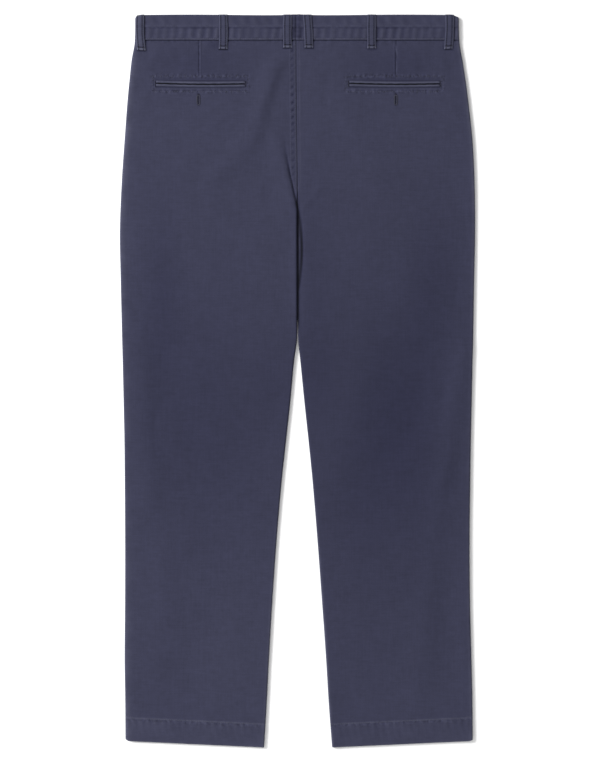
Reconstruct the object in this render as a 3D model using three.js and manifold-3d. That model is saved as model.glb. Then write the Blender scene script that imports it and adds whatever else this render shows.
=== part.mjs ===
// Chino trousers laid flat on their front, so the back lies up. Millimetres, +Z up from the surface.
// X runs across the waist with x = 0 on the centre back seam, and +Y runs from the hems to the waist.
// "down" is the distance below the waist's top edge. "out" is the distance outwards from x = 0 on one side.
import * as THREE from "three";
import { mergeVertices } from "three/addons/utils/BufferGeometryUtils.js";
import Module from "manifold-3d";

const wasm = await Module();
wasm.setup();

// Driving dimensions of the garment
const GARMENT_LENGTH = 1094;
const CLOTH = 1.2; // wall of one ply of twill, drawn a little thicker than it is cut
const BAND_WALL = 2.7; // waistband: two plies, their turned edges and the stiffener between them
const SEAM_GAP = 0.3;
const BAND_DEPTH = 39.5;
const BAND_TOP = 5.8; // height of the flattened waistband above the surface
const LEG_TOP = 4.3; // height of the back cloth over the front cloth
const EDGE_ROLL = 0.6; // how much prouder the cloth lies beside a folded edge
const EDGE_ROLL_REACH = 16;
const FOLD_RADIUS = 2.6; // half width of the turned edge at a side or inner fold
const SEAM_RADIUS = 1.6; // the same at the centre back seam, where the cloth turns tightly
const LIP = 8; // how far the back panel reaches under a fold before its seam
const LEG_PARTING = 486; // down to where the two legs part
const LIP_DROP = { before: 8, after: 12 }; // the lip comes down to the surface round the parting
const FRONT_STEP = { from: 24, to: 10 }; // the front's inner edge moves beside the lip above the parting
const SEAT_SEAM_END = 250; // down to where the centre back seam ends and the inner folds begin
const SEAT_SEAM_FADE = { before: 30, after: 40 };
const INNER_FOLD_REACH = 60; // the turned edge widens from the seam to the inner fold over this length
const TURN_SPACE = 0.35; // least space left inside a turned edge
const LEAST_SPACE = 0.05; // least space left between the back's lining side and the front
const WAIST_SEAM_RISE = 0.6; // the panel climbs this much into the waistband seam
const WAIST_SEAM_REACH = 14;

// Hem: turned up inside, so its outer face stands a little prouder below the stitch line
const HEM_DOWN = 1088.6; // middle of the leg
const HEM_STITCH_DOWN = 1054;
const HEM_TILT = 4.8; // the hem's inner corner lies this much lower than its middle, the outer corner higher
const HEM_TILT_START = 900;
const HEM_PROUD = 0.35;
const HEM_EXTRA = 0.7;
const HEM_STEP = 1; // half the length over which the hem's thickness sets in
const FRONT_HEM_SHORT = 2;

// Felled centre back seam: the left panel's strip beside the seam is prouder
const FELL_WIDTH = 9.5;
const FELL_EDGE = 0.6;
const FELL_PROUD = 0.4;

// Outline of the garment: distances outwards from the centre line at each level, left and right leg
const OUTLINE = [
  { down: 0, leftOut: 242.0, leftIn: 2.2, rightIn: -1.7, rightOut: 240.4 },
  { down: 42, leftOut: 242.7, leftIn: 2.2, rightIn: -1.7, rightOut: 241.4 },
  { down: 69, leftOut: 247.3, leftIn: 2.2, rightIn: -1.7, rightOut: 245.9 },
  { down: 99, leftOut: 250.5, leftIn: 2.0, rightIn: -1.5, rightOut: 250.6 },
  { down: 129, leftOut: 253.4, leftIn: 1.7, rightIn: -1.2, rightOut: 254.5 },
  { down: 188, leftOut: 257.8, leftIn: 1.1, rightIn: -0.6, rightOut: 260.8 },
  { down: 248, leftOut: 261.9, leftIn: 0.5, rightIn: 0.2, rightOut: 263.9 },
  { down: 322, leftOut: 264.8, leftIn: 0.4, rightIn: 0.5, rightOut: 264.8 },
  { down: 397, leftOut: 263.6, leftIn: 0.3, rightIn: 0.5, rightOut: 263.3 },
  { down: 486, leftOut: 261.5, leftIn: 0.9, rightIn: 1.1, rightOut: 261.8 },
  { down: 516, leftOut: 260.7, leftIn: 5.0, rightIn: 4.1, rightOut: 261.0 },
  { down: 576, leftOut: 259.3, leftIn: 10.5, rightIn: 10.0, rightOut: 259.7 },
  { down: 635, leftOut: 258.1, leftIn: 16.9, rightIn: 16.3, rightOut: 258.4 },
  { down: 695, leftOut: 257.5, leftIn: 23.4, rightIn: 22.3, rightOut: 257.5 },
  { down: 784, leftOut: 257.0, leftIn: 31.1, rightIn: 29.7, rightOut: 256.5 },
  { down: 874, leftOut: 257.1, leftIn: 37.4, rightIn: 36.4, rightOut: 257.1 },
  { down: 963, leftOut: 257.7, leftIn: 42.7, rightIn: 42.8, rightOut: 259.2 },
  { down: 1023, leftOut: 256.9, leftIn: 45.9, rightIn: 46.6, rightOut: 260.6 },
  { down: 1094, leftOut: 256.4, leftIn: 50.2, rightIn: 52.0, rightOut: 261.2 },
];

// Soft ridges (+) and troughs (-) of the cloth, each along a straight stretch from one point to another
const FOLDS = [
  { name: "left thigh trough", x1: -220, down1: 322, x2: -193, down2: 605, height: -1.1, reach: 48 },
  { name: "left knee trough", x1: -186, down1: 625, x2: -112, down2: 792, height: -1.1, reach: 44 },
  { name: "left shin trough", x1: -120, down1: 880, x2: -160, down2: 1010, height: -0.5, reach: 30 },
  { name: "left outer ridge", x1: -232, down1: 470, x2: -222, down2: 725, height: 0.8, reach: 20 },
  { name: "left calf ridge", x1: -196, down1: 800, x2: -205, down2: 960, height: 0.7, reach: 24 },
  { name: "right thigh trough", x1: 205, down1: 322, x2: 153, down2: 576, height: -1.3, reach: 50 },
  { name: "right knee trough", x1: 148, down1: 590, x2: 78, down2: 740, height: -1.2, reach: 42 },
  { name: "right crease upper", x1: 247, down1: 501, x2: 217, down2: 695, height: 1.0, reach: 19 },
  { name: "right crease lower", x1: 215, down1: 705, x2: 175, down2: 1022, height: 1.0, reach: 20 },
  { name: "right shin trough", x1: 225, down1: 850, x2: 222, down2: 1000, height: -0.7, reach: 20 },
  { name: "seat pull ridge", x1: -38, down1: 92, x2: -71, down2: 188, height: 0.9, reach: 17 },
  { name: "seat pull ridge end", x1: -74, down1: 193, x2: -123, down2: 240, height: 0.7, reach: 20 },
  { name: "right seat ridge", x1: 70, down1: 130, x2: 120, down2: 250, height: 0.6, reach: 30 },
  { name: "fork ridge", x1: -34, down1: 180, x2: -16, down2: 300, height: 0.6, reach: 14 },
];

// Double-welt back pockets
const POCKET_OUT = 144.5;
const POCKET_LENGTH = { left: 132.2, right: 134.6 };
const POCKET_SLIT_DOWN = 104.7;
const SLIT = 0.8;
const WELT_STATIONS = 9;
const WELT_BOW = { sag: 1.1, lift: 0.5 }; // the mouth's middle sags a little below its ends
const WELT_SECTION = [
  { across: 0, thick: 0.95 },
  { across: 0.7, thick: 1.3 },
  { across: 3.5, thick: 1.05 },
  { across: 4.4, thick: 0.45 },
];
const BUTTONHOLE = { down: 128.6, length: 16.5, width: 5.6, slot: 1.0, thick: 0.6 };
const BUTTONHOLE_OUT = { left: 148.1, right: 146.5 };
const DART = { out: 146.4, down1: 40.5, down2: 97.5, width: 1.4, depth: 0.7 };

// Belt loops: six on the back and sides, and two on the front, where they lie pressed into the cloth
const LOOP_WIDTH = 13;
const LOOP_THICK = 1.4;
const LOOP_EDGE = { share: 0.78, rounded: 0.35 }; // the strip's edges are rounded off outside this share
const LOOP_ARCH = [
  { down: 0.4, rise: 0.25 },
  { down: 3, rise: 0.5 },
  { down: 8, rise: 1.1 },
  { down: 16, rise: 1.45 },
  { down: 28, rise: 1.35 },
  { down: 36, rise: 0.9 },
  { down: 40.5, rise: 0.35 },
];
const LOOP_TAIL = { down: 44.5, above: 0.4, thinner: 0.15 }; // from here its end lies on the panel
const BACK_LOOPS = [
  { name: "belt_loop_side_left", topX: -234.4, bottomX: -232.5, end: 54.6 },
  { name: "belt_loop_back_left", topX: -110.7, bottomX: -110.7, end: 52.7 },
  { name: "belt_loop_centre_left", topX: -14.6, bottomX: -14.6, end: 50.8 },
  { name: "belt_loop_centre_right", topX: 14.4, bottomX: 17.0, end: 50.8 },
  { name: "belt_loop_back_right", topX: 110.6, bottomX: 110.6, end: 51.9 },
  { name: "belt_loop_side_right", topX: 226.6, bottomX: 224.8, end: 52.6 },
];
const FRONT_LOOP = { x: 122, start: 1.4, end: 51, thick: 1.2 };

// Front: slanted side pockets, fly, zip and waist button
const SIDE_POCKET = { topOut: 196, bottomDown: 205, inset: 0.7 };
const FLY = { reach: 12, fadeStart: 150, fadeEnd: 225 };
const FLY_LEVELS = [188, 165, 142, 118]; // levels of the fly's edge above the side pocket's end
const ZIP = { x1: -34, x2: -12, down1: 42, down2: 205, tape: 0.8, chainWidth: 5, chain: 1.1, ends: 4 };
const BUTTON = { radius: 8.5, thick: 1.5, down: 20, segments: 40 };
const BUTTON_HOLES = { radius: 1.1, from: 1.9, segments: 12 };
const BUTTON_DISH = { radius: 5.6, depth: 0.4, segments: 32 };
const PRESSED_GAP = 0.3; // clearance round a piece that lies pressed into the cloth
const OVERRUN = 3; // how far a cutting block reaches past the solid that it cuts

// Waist's top edge: raised at the bulky centre seam, rounded off at the side folds
const TOP_EDGE = { drop: 1.1, reach: 18 };
const TOP_CORNER = { drop: 3.2, reach: 6, lowerShare: 0.8 };
const BAND_EDGE = { depth: 2, narrower: 0.5, thinner: 0.3, seam: 1 };
const BAND_FOLD = BAND_TOP / 2 + 0.3;
const BAND_ACROSS = 8;

const COLOURS = {
  twill: "#3f4055",
  twillEdge: "#4a4b62",
  band: "#3c3d52",
  welt: "#4d4e64",
  stitch: "#4b4c62",
  zip: "#2b2c3a",
  horn: "#2e2f3c",
};

const yAt = (down) => GARMENT_LENGTH / 2 - down;
const SIDES = [
  { name: "left", sign: -1 },
  { name: "right", sign: 1 },
];

// Smooth step from 0 to 1 between two levels
function step(from, to, at) {
  const t = THREE.MathUtils.clamp((at - from) / (to - from), 0, 1);
  return t * t * (3 - 2 * t);
}

// Value of one column of the outline at any level, on a smooth curve through the rows
function outline(column, down) {
  const last = OUTLINE.length - 2;
  let i = 0;
  while (i < last && OUTLINE[i + 1].down < down) i += 1;
  const row = (k) => OUTLINE[THREE.MathUtils.clamp(k, 0, last + 1)];
  const slope = (a, b) => (row(b)[column] - row(a)[column]) / (row(b).down - row(a).down || 1);
  const span = row(i + 1).down - row(i).down;
  const t = THREE.MathUtils.clamp((down - row(i).down) / span, 0, 1);
  const m1 = slope(i - 1, i + 1) * span;
  const m2 = slope(i, i + 2) * span;
  const v1 = row(i)[column];
  const v2 = row(i + 1)[column];
  const t2 = t * t;
  const t3 = t2 * t;
  return v1 * (2 * t3 - 3 * t2 + 1) + m1 * (t3 - 2 * t2 + t) + v2 * (3 * t2 - 2 * t3) + m2 * (t3 - t2);
}

const outerEdge = (side, down) => outline(side.name + "Out", down);
const innerEdge = (side, down) => outline(side.name + "In", down);
const inHem = (down) => step(HEM_STITCH_DOWN - HEM_STEP, HEM_STITCH_DOWN + HEM_STEP, down);

// Height of the back's outer face above the surface
function legTop(side, out, down) {
  const x = side.sign * out;
  const inner = innerEdge(side, down);
  const outer = outerEdge(side, down);
  const belowSeat = step(SEAT_SEAM_END - SEAT_SEAM_FADE.before, SEAT_SEAM_END + SEAT_SEAM_FADE.after, down);
  const roll = (distance) => EDGE_ROLL * Math.exp(-((distance / EDGE_ROLL_REACH) ** 2));
  let z = LEG_TOP + roll(outer - out) + roll(out - inner) * belowSeat;
  for (const fold of FOLDS) {
    const dx = fold.x2 - fold.x1;
    const dd = fold.down2 - fold.down1;
    const along = ((x - fold.x1) * dx + (down - fold.down1) * dd) / (dx * dx + dd * dd);
    const t = THREE.MathUtils.clamp(along, 0, 1);
    const distance = Math.hypot(x - fold.x1 - t * dx, down - fold.down1 - t * dd);
    z += fold.height * Math.exp(-((distance / fold.reach) ** 2));
  }
  z += WAIST_SEAM_RISE * Math.exp(-(Math.max(down - BAND_DEPTH, 0) / WAIST_SEAM_REACH));
  z += HEM_PROUD * inHem(down);
  const besideFell = step(FELL_WIDTH - FELL_EDGE, FELL_WIDTH + FELL_EDGE, out - inner);
  if (side.sign < 0) z += FELL_PROUD * (1 - besideFell) * (1 - belowSeat);
  return z;
}

// A closed wall between an outer and an inner sheet of points, both with the same rows and columns
function wallBetween(outer, inner) {
  const rows = outer.length;
  const columns = outer[0].length;
  const positions = [];
  const index = [];
  for (const sheet of [outer, inner]) {
    for (const row of sheet) {
      for (const point of row) positions.push(point[0], point[1], point[2]);
    }
  }
  const at = (sheet, r, c) => (sheet * rows + r) * columns + c;
  const quad = (a, b, c, d) => index.push(a, b, c, a, c, d);
  for (let r = 0; r < rows - 1; r += 1) {
    for (let c = 0; c < columns - 1; c += 1) {
      quad(at(0, r, c), at(0, r + 1, c), at(0, r + 1, c + 1), at(0, r, c + 1));
      quad(at(1, r, c), at(1, r, c + 1), at(1, r + 1, c + 1), at(1, r + 1, c));
    }
    quad(at(0, r, 0), at(1, r, 0), at(1, r + 1, 0), at(0, r + 1, 0));
    quad(at(0, r, columns - 1), at(0, r + 1, columns - 1), at(1, r + 1, columns - 1), at(1, r, columns - 1));
  }
  for (let c = 0; c < columns - 1; c += 1) {
    quad(at(0, 0, c), at(0, 0, c + 1), at(1, 0, c + 1), at(1, 0, c));
    quad(at(0, rows - 1, c), at(1, rows - 1, c), at(1, rows - 1, c + 1), at(0, rows - 1, c + 1));
  }
  const geometry = new THREE.BufferGeometry();
  geometry.setAttribute("position", new THREE.Float32BufferAttribute(positions, 3));
  geometry.setIndex(signedVolume(positions, index) < 0 ? index.reverse() : index);
  return geometry;
}

function signedVolume(positions, index) {
  let volume = 0;
  const corner = (i) => new THREE.Vector3().fromArray(positions, index[i] * 3);
  for (let i = 0; i < index.length; i += 3) {
    volume += corner(i).dot(corner(i + 1).cross(corner(i + 2)));
  }
  return volume;
}

function toSolid(geometry) {
  const bare = geometry.clone();
  bare.deleteAttribute("normal");
  bare.deleteAttribute("uv");
  const merged = mergeVertices(bare, 1e-4);
  const vertProperties = new Float32Array(merged.attributes.position.array);
  const triVerts = new Uint32Array(merged.index.array);
  return new wasm.Manifold(new wasm.Mesh({ numProp: 3, vertProperties, triVerts }));
}

function toGeometry(solid) {
  const mesh = solid.getMesh();
  const geometry = new THREE.BufferGeometry();
  geometry.setAttribute("position", new THREE.BufferAttribute(new Float32Array(mesh.vertProperties), 3));
  geometry.setIndex(new THREE.BufferAttribute(new Uint32Array(mesh.triVerts), 1));
  return geometry;
}

const cut = (geometry, ...tools) =>
  toGeometry(tools.reduce((solid, tool) => solid.subtract(toSolid(tool)), toSolid(geometry)));

// An upright block between two levels down and two heights
function block(x1, x2, down1, down2, z1, z2) {
  const box = new THREE.BoxGeometry(x2 - x1, down2 - down1, z2 - z1);
  return box.translate((x1 + x2) / 2, yAt((down1 + down2) / 2), (z1 + z2) / 2);
}

// A flat plate of cloth lying on the surface, from a list of [x, down] corners
function flatPlate(corners, thick = CLOTH) {
  const shape = new THREE.Shape(corners.map(([x, down]) => new THREE.Vector2(x, yAt(down))));
  return new THREE.ExtrudeGeometry(shape, { depth: thick, bevelEnabled: false, steps: 1 });
}

// Points of a turned edge, from under the fold to the top, for its outer face and for its inner face
function turnedEdge(foldAt, inward, radius, zLow, zHigh, wall) {
  const angles = [-90, -135, 180, 135, 90];
  const middle = (zLow + zHigh) / 2;
  const half = (zHigh - zLow) / 2;
  return angles.map((degrees) => {
    const angle = THREE.MathUtils.degToRad(degrees);
    const outwards = radius * (1 + Math.cos(angle));
    const inset = (radius - wall) * (1 + Math.cos(angle)) + wall;
    const tuck = degrees === 180 ? wall : inset;
    return {
      outer: [foldAt + inward * outwards, middle + half * Math.sin(angle)],
      inner: [foldAt + inward * tuck, middle + (half - wall) * Math.sin(angle)],
    };
  });
}

const LEVELS = [
  42, 58, 76, 99, 129, 158, 188, 205, 218, 248, 270, 295, 322, 355, 397, 440, 470, 480, 490, 500, 516, 545,
  576, 635, 695, 740, 784, 830, 874, 920, 963, 1005, 1035, 1053.2, 1054.8, 1072, 1088.6,
];
const NEAR_SEAM = [8.9, 10.1, 19, 30];
const ACROSS = 14;

// Level of a point on the hem side of a leg: the hem runs slightly askew, lower at the inner leg
function tilted(side, out, down) {
  const middle = (innerEdge(side, HEM_DOWN) + outerEdge(side, HEM_DOWN)) / 2;
  const half = (outerEdge(side, HEM_DOWN) - innerEdge(side, HEM_DOWN)) / 2;
  return down + HEM_TILT * step(HEM_TILT_START, HEM_STITCH_DOWN, down) * ((middle - out) / half);
}

// Height of the back panel's lip: on top of the front panels above the parting, on the surface below it
const lipHeight = (down) =>
  (CLOTH + SEAM_GAP) * (1 - step(LEG_PARTING - LIP_DROP.before, LEG_PARTING + LIP_DROP.after, down));

// Back panel: from the seam under the inner fold, over the leg, round to the seam under the outer fold
function backPanel(side) {
  const outer = [];
  const inner = [];
  LEVELS.forEach((level, index) => {
    const down = index === 0 ? BAND_DEPTH + SEAM_GAP : level;
    const foldIn = innerEdge(side, down);
    const foldOut = outerEdge(side, down);
    const low = lipHeight(down);
    const wall = CLOTH + HEM_EXTRA * inHem(down);
    const widening = step(SEAT_SEAM_END, SEAT_SEAM_END + INNER_FOLD_REACH, down);
    const turn = SEAM_RADIUS + (FOLD_RADIUS - SEAM_RADIUS) * widening;
    const topIn = Math.max(legTop(side, foldIn + turn, down), low + 2 * wall + TURN_SPACE);
    const topOut = Math.max(legTop(side, foldOut - FOLD_RADIUS, down), 2 * wall + TURN_SPACE);
    const path = [{ outer: [foldIn + LIP, low], inner: [foldIn + LIP, low + wall] }];
    path.push(...turnedEdge(foldIn, 1, turn, low, topIn, wall));
    const first = foldIn + NEAR_SEAM.at(-1);
    const last = foldOut - FOLD_RADIUS;
    const columns = NEAR_SEAM.map((offset) => foldIn + offset);
    for (let c = 1; c < ACROSS; c += 1) columns.push(first + ((last - first) * c) / ACROSS);
    for (const out of columns) {
      const z = Math.max(legTop(side, out, down), CLOTH + SEAM_GAP + wall + LEAST_SPACE);
      path.push({ outer: [out, z], inner: [out, z - wall] });
    }
    path.push(...turnedEdge(foldOut, -1, FOLD_RADIUS, 0, topOut, wall).reverse());
    path.push({ outer: [foldOut - LIP, 0], inner: [foldOut - LIP, wall] });
    const place = ([out, z]) => [side.sign * out, yAt(tilted(side, out, down)), z];
    outer.push(path.map((point) => place(point.outer)));
    inner.push(path.map((point) => place(point.inner)));
  });
  const panel = wallBetween(outer, inner);
  const dartX = side.sign * DART.out;
  const dartTop = legTop(side, DART.out, (DART.down1 + DART.down2) / 2);
  const groove = block(
    dartX - DART.width / 2, dartX + DART.width / 2, DART.down1, DART.down2,
    dartTop - DART.depth, dartTop + OVERRUN,
  );
  return cut(panel, groove);
}

// Inner edge of the front panel: the centre front line down to the parting, then beside the back's lip
function frontInner(side, down) {
  const fly = FLY.reach * (1 - step(FLY.fadeStart, FLY.fadeEnd, down));
  const centre = side.sign < 0 ? -fly + SEAM_GAP / 2 : fly + SEAM_GAP / 2;
  const besideLip = innerEdge(side, down) + LIP + SEAM_GAP;
  const away = step(LEG_PARTING - FRONT_STEP.from, LEG_PARTING - FRONT_STEP.to, down);
  return centre + (besideLip - centre) * away;
}

// Front panel: flat on the surface, its upper outer corner cut on a slant for the side pocket
function frontPanel(side) {
  const top = BAND_DEPTH + SEAM_GAP;
  const outside = (down) => outerEdge(side, down) - LIP - SEAM_GAP;
  const corners = [[SIDE_POCKET.topOut, top]];
  const levels = LEVELS.filter((level) => level > SIDE_POCKET.bottomDown && level < HEM_DOWN);
  corners.push([outside(SIDE_POCKET.bottomDown), SIDE_POCKET.bottomDown]);
  for (const level of levels) corners.push([outside(level), level]);
  corners.push([outside(HEM_DOWN), HEM_DOWN - FRONT_HEM_SHORT]);
  corners.push([frontInner(side, HEM_DOWN), HEM_DOWN - FRONT_HEM_SHORT]);
  for (const level of levels.reverse()) corners.push([frontInner(side, level), level]);
  for (const level of [...FLY_LEVELS, top]) corners.push([frontInner(side, level), level]);
  const plate = flatPlate(corners.map(([out, down]) => [side.sign * out, tilted(side, out, down)]));
  const notch = LOOP_WIDTH / 2 + PRESSED_GAP;
  const x = side.sign * FRONT_LOOP.x;
  const end = FRONT_LOOP.end + PRESSED_GAP;
  return cut(plate, block(x - notch, x + notch, top - OVERRUN, end, -OVERRUN, CLOTH + OVERRUN));
}

// Side pocket: the piece of the hip that shows behind the slanted pocket mouth
function sidePocket(side) {
  const top = BAND_DEPTH + SEAM_GAP;
  const outside = (down) => outerEdge(side, down) - LIP - SEAM_GAP;
  const corners = [[SIDE_POCKET.topOut + SIDE_POCKET.inset, top], [outside(top), top]];
  for (const level of LEVELS.slice(1).filter((each) => each < SIDE_POCKET.bottomDown)) {
    corners.push([outside(level), level]);
  }
  corners.push([outside(SIDE_POCKET.bottomDown), SIDE_POCKET.bottomDown - SIDE_POCKET.inset * 2]);
  return flatPlate(corners.map(([out, down]) => [side.sign * out, down]));
}

// Waistband half: from the centre back seam over the back, round the side and under to the front closing
function waistband(side) {
  const backSeam = (down) => innerEdge(side, down);
  const closing = side.sign < 0 ? -FLY.reach + SEAM_GAP / 2 : FLY.reach + SEAM_GAP / 2;
  const levels = [0, BAND_EDGE.depth, BAND_DEPTH - BAND_EDGE.seam, BAND_DEPTH];
  const outer = [];
  const inner = [];
  levels.forEach((level, index) => {
    const fold = outerEdge(side, level) - (index === 0 ? BAND_EDGE.narrower : 0);
    const top = BAND_TOP - (index === 0 ? BAND_EDGE.thinner : 0);
    const path = [];
    for (let c = 0; c < BAND_ACROSS; c += 1) {
      const out = backSeam(level) + ((fold - BAND_FOLD - backSeam(level)) * c) / BAND_ACROSS;
      path.push({ outer: [out, top], inner: [out, BAND_TOP - BAND_WALL] });
    }
    path.push(...turnedEdge(fold, -1, BAND_FOLD, 0, top, BAND_WALL).reverse());
    for (let c = 1; c <= BAND_ACROSS; c += 1) {
      const out = fold - BAND_FOLD + ((closing - fold + BAND_FOLD) * c) / BAND_ACROSS;
      path.push({ outer: [out, 0], inner: [out, BAND_WALL] });
    }
    const place = ([out, z]) => {
      const rounded = index < 2 ? cornerDrop(side, out) * (index === 0 ? 1 : TOP_CORNER.lowerShare) : 0;
      const raised = index < 2 ? topEdge(side.sign * out) : 0;
      return [side.sign * out, yAt(level + rounded + raised), z];
    };
    outer.push(path.map((point) => place(point.outer)));
    inner.push(path.map((point) => place(point.inner)));
  });
  const tools = [loopPocket(side)];
  if (side.sign < 0) tools.push(buttonPocket());
  return cut(wallBetween(outer, inner), ...tools);
}

const topEdge = (x) => TOP_EDGE.drop * (1 - Math.exp(-((x / TOP_EDGE.reach) ** 2)));
const cornerDrop = (side, out) =>
  TOP_CORNER.drop * Math.exp(-(((outerEdge(side, 0) - out) / TOP_CORNER.reach) ** 2));

// Hollows in the waistband's front that the front belt loop and the button lie pressed into
function loopPocket(side) {
  const half = LOOP_WIDTH / 2 + PRESSED_GAP;
  const x = side.sign * FRONT_LOOP.x;
  return block(x - half, x + half, -OVERRUN, BAND_DEPTH + OVERRUN, -OVERRUN, FRONT_LOOP.thick + PRESSED_GAP);
}

function buttonPocket() {
  const radius = BUTTON.radius + PRESSED_GAP;
  const top = BUTTON.thick + PRESSED_GAP;
  const well = new THREE.CylinderGeometry(radius, radius, top + OVERRUN, BUTTON.segments).rotateX(Math.PI / 2);
  return well.translate(0, yAt(BUTTON.down), (top - OVERRUN) / 2);
}

// Belt loop on the back: a folded strip, sewn at the band's top edge and below the waistband seam
function backLoop(loop) {
  const topRows = [];
  const underRows = [];
  const start = LOOP_ARCH[0].down;
  for (const { down, rise } of [...LOOP_ARCH, { down: LOOP_TAIL.down }, { down: loop.end }]) {
    const onPanel = rise === undefined;
    const centre = THREE.MathUtils.lerp(loop.topX, loop.bottomX, (down - start) / (loop.end - start));
    const side = centre < 0 ? SIDES[0] : SIDES[1];
    const thick = LOOP_THICK - (onPanel ? LOOP_TAIL.thinner : 0);
    const columns = [-1, -LOOP_EDGE.share, LOOP_EDGE.share, 1].map((across) => {
      const x = centre + (across * LOOP_WIDTH) / 2;
      const panel = Math.max(legTop(side, Math.abs(x), down), legTop(side, Math.abs(centre), down));
      const under = onPanel ? panel + LOOP_TAIL.above : BAND_TOP + rise;
      const rounded = Math.abs(across) === 1 ? LOOP_EDGE.rounded : 0;
      return { under: [x, yAt(down), under], top: [x, yAt(down), under + thick - rounded] };
    });
    topRows.push(columns.map((point) => point.top));
    underRows.push(columns.map((point) => point.under));
  }
  return wallBetween(topRows, underRows);
}

// Belt loop on the front: pressed flat into the waistband and the panel, level with the surface
function frontLoop(side) {
  const x = side.sign * FRONT_LOOP.x;
  const half = LOOP_WIDTH / 2;
  return block(x - half, x + half, FRONT_LOOP.start, FRONT_LOOP.end, 0, FRONT_LOOP.thick);
}

// One lip of a double-welt pocket: a narrow folded strip on the panel, crowned along its length
function welt(side, upper) {
  const length = POCKET_LENGTH[side.name];
  const topRows = [];
  const underRows = [];
  for (const { across, thick } of WELT_SECTION) {
    const offset = SLIT / 2 + across;
    const top = [];
    const under = [];
    for (let c = 0; c < WELT_STATIONS; c += 1) {
      const share = c / (WELT_STATIONS - 1);
      const out = POCKET_OUT + length * (share - 0.5);
      const bow = WELT_BOW.sag * Math.sin(Math.PI * share) - WELT_BOW.lift;
      const down = POCKET_SLIT_DOWN + bow + (upper ? -offset : offset);
      const z = legTop(side, out, down) + SEAM_GAP;
      top.push([side.sign * out, yAt(down), z + thick]);
      under.push([side.sign * out, yAt(down), z]);
    }
    topRows.push(top);
    underRows.push(under);
  }
  return wallBetween(topRows, underRows);
}

// Upright buttonhole below a back pocket: its raised, closely worked rim round the cut slot
function buttonhole(side) {
  const { down, length, width, slot, thick } = BUTTONHOLE;
  const out = BUTTONHOLE_OUT[side.name];
  const straight = (length - width) / 2;
  const rim = new THREE.Shape();
  rim.absarc(0, straight, width / 2, 0, Math.PI, false);
  rim.absarc(0, -straight, width / 2, Math.PI, 2 * Math.PI, false);
  const opening = new THREE.Path();
  opening.absarc(0, straight, slot / 2, 0, Math.PI, false);
  opening.absarc(0, -straight, slot / 2, Math.PI, 2 * Math.PI, false);
  rim.holes.push(opening);
  const geometry = new THREE.ExtrudeGeometry(rim, { depth: thick, bevelEnabled: false, curveSegments: 8 });
  const reach = [down - length / 2, down, down + length / 2];
  const z = Math.max(...reach.map((level) => legTop(side, out, level))) + SEAM_GAP;
  return geometry.translate(side.sign * out, yAt(down), z);
}

// Zip behind the fly: two tapes with the closed chain between them and the slider at its top
function zip() {
  const z = CLOTH + SEAM_GAP;
  const middle = (ZIP.x1 + ZIP.x2) / 2;
  const half = ZIP.chainWidth / 2;
  const tape = toSolid(block(ZIP.x1, ZIP.x2, ZIP.down1, ZIP.down2, z, z + ZIP.tape));
  const chain = toSolid(
    block(middle - half, middle + half, ZIP.down1 + ZIP.ends, ZIP.down2 - ZIP.ends, z, z + ZIP.chain),
  );
  return toGeometry(tape.add(chain));
}

// Waist button: a dished four-hole button lying level with the surface, its face down
function waistButton() {
  const disc = (radius, height, segments) =>
    new THREE.CylinderGeometry(radius, radius, height, segments).rotateX(Math.PI / 2);
  const tools = [];
  for (const [dx, dy] of [[1, 1], [1, -1], [-1, 1], [-1, -1]]) {
    const hole = disc(BUTTON_HOLES.radius, BUTTON.thick + OVERRUN, BUTTON_HOLES.segments);
    tools.push(hole.translate(dx * BUTTON_HOLES.from, dy * BUTTON_HOLES.from, 0));
  }
  const dish = disc(BUTTON_DISH.radius, BUTTON_DISH.depth * 2, BUTTON_DISH.segments);
  tools.push(dish.translate(0, 0, -BUTTON.thick / 2));
  const body = disc(BUTTON.radius, BUTTON.thick, BUTTON.segments);
  return cut(body, ...tools).translate(0, yAt(BUTTON.down), BUTTON.thick / 2);
}

const trousers = new THREE.Group();

function add(name, geometry, colour, roughness = 0.92) {
  const material = new THREE.MeshStandardMaterial({ color: colour, roughness, metalness: 0 });
  const mesh = new THREE.Mesh(geometry, material);
  mesh.name = name;
  trousers.add(mesh);
}

for (const side of SIDES) {
  add("front_" + side.name, frontPanel(side), COLOURS.twill);
  add("side_pocket_" + side.name, sidePocket(side), COLOURS.twillEdge);
  add("back_" + side.name, backPanel(side), COLOURS.twill);
  add("waistband_" + side.name, waistband(side), COLOURS.band);
  add("welt_upper_" + side.name, welt(side, true), COLOURS.welt);
  add("welt_lower_" + side.name, welt(side, false), COLOURS.welt);
  add("buttonhole_" + side.name, buttonhole(side), COLOURS.stitch);
  add("belt_loop_front_" + side.name, frontLoop(side), COLOURS.twillEdge);
}
for (const loop of BACK_LOOPS) add(loop.name, backLoop(loop), COLOURS.twillEdge);
add("fly_zip", zip(), COLOURS.zip, 0.6);
add("waist_button", waistButton(), COLOURS.horn, 0.45);

export default trousers;
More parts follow.
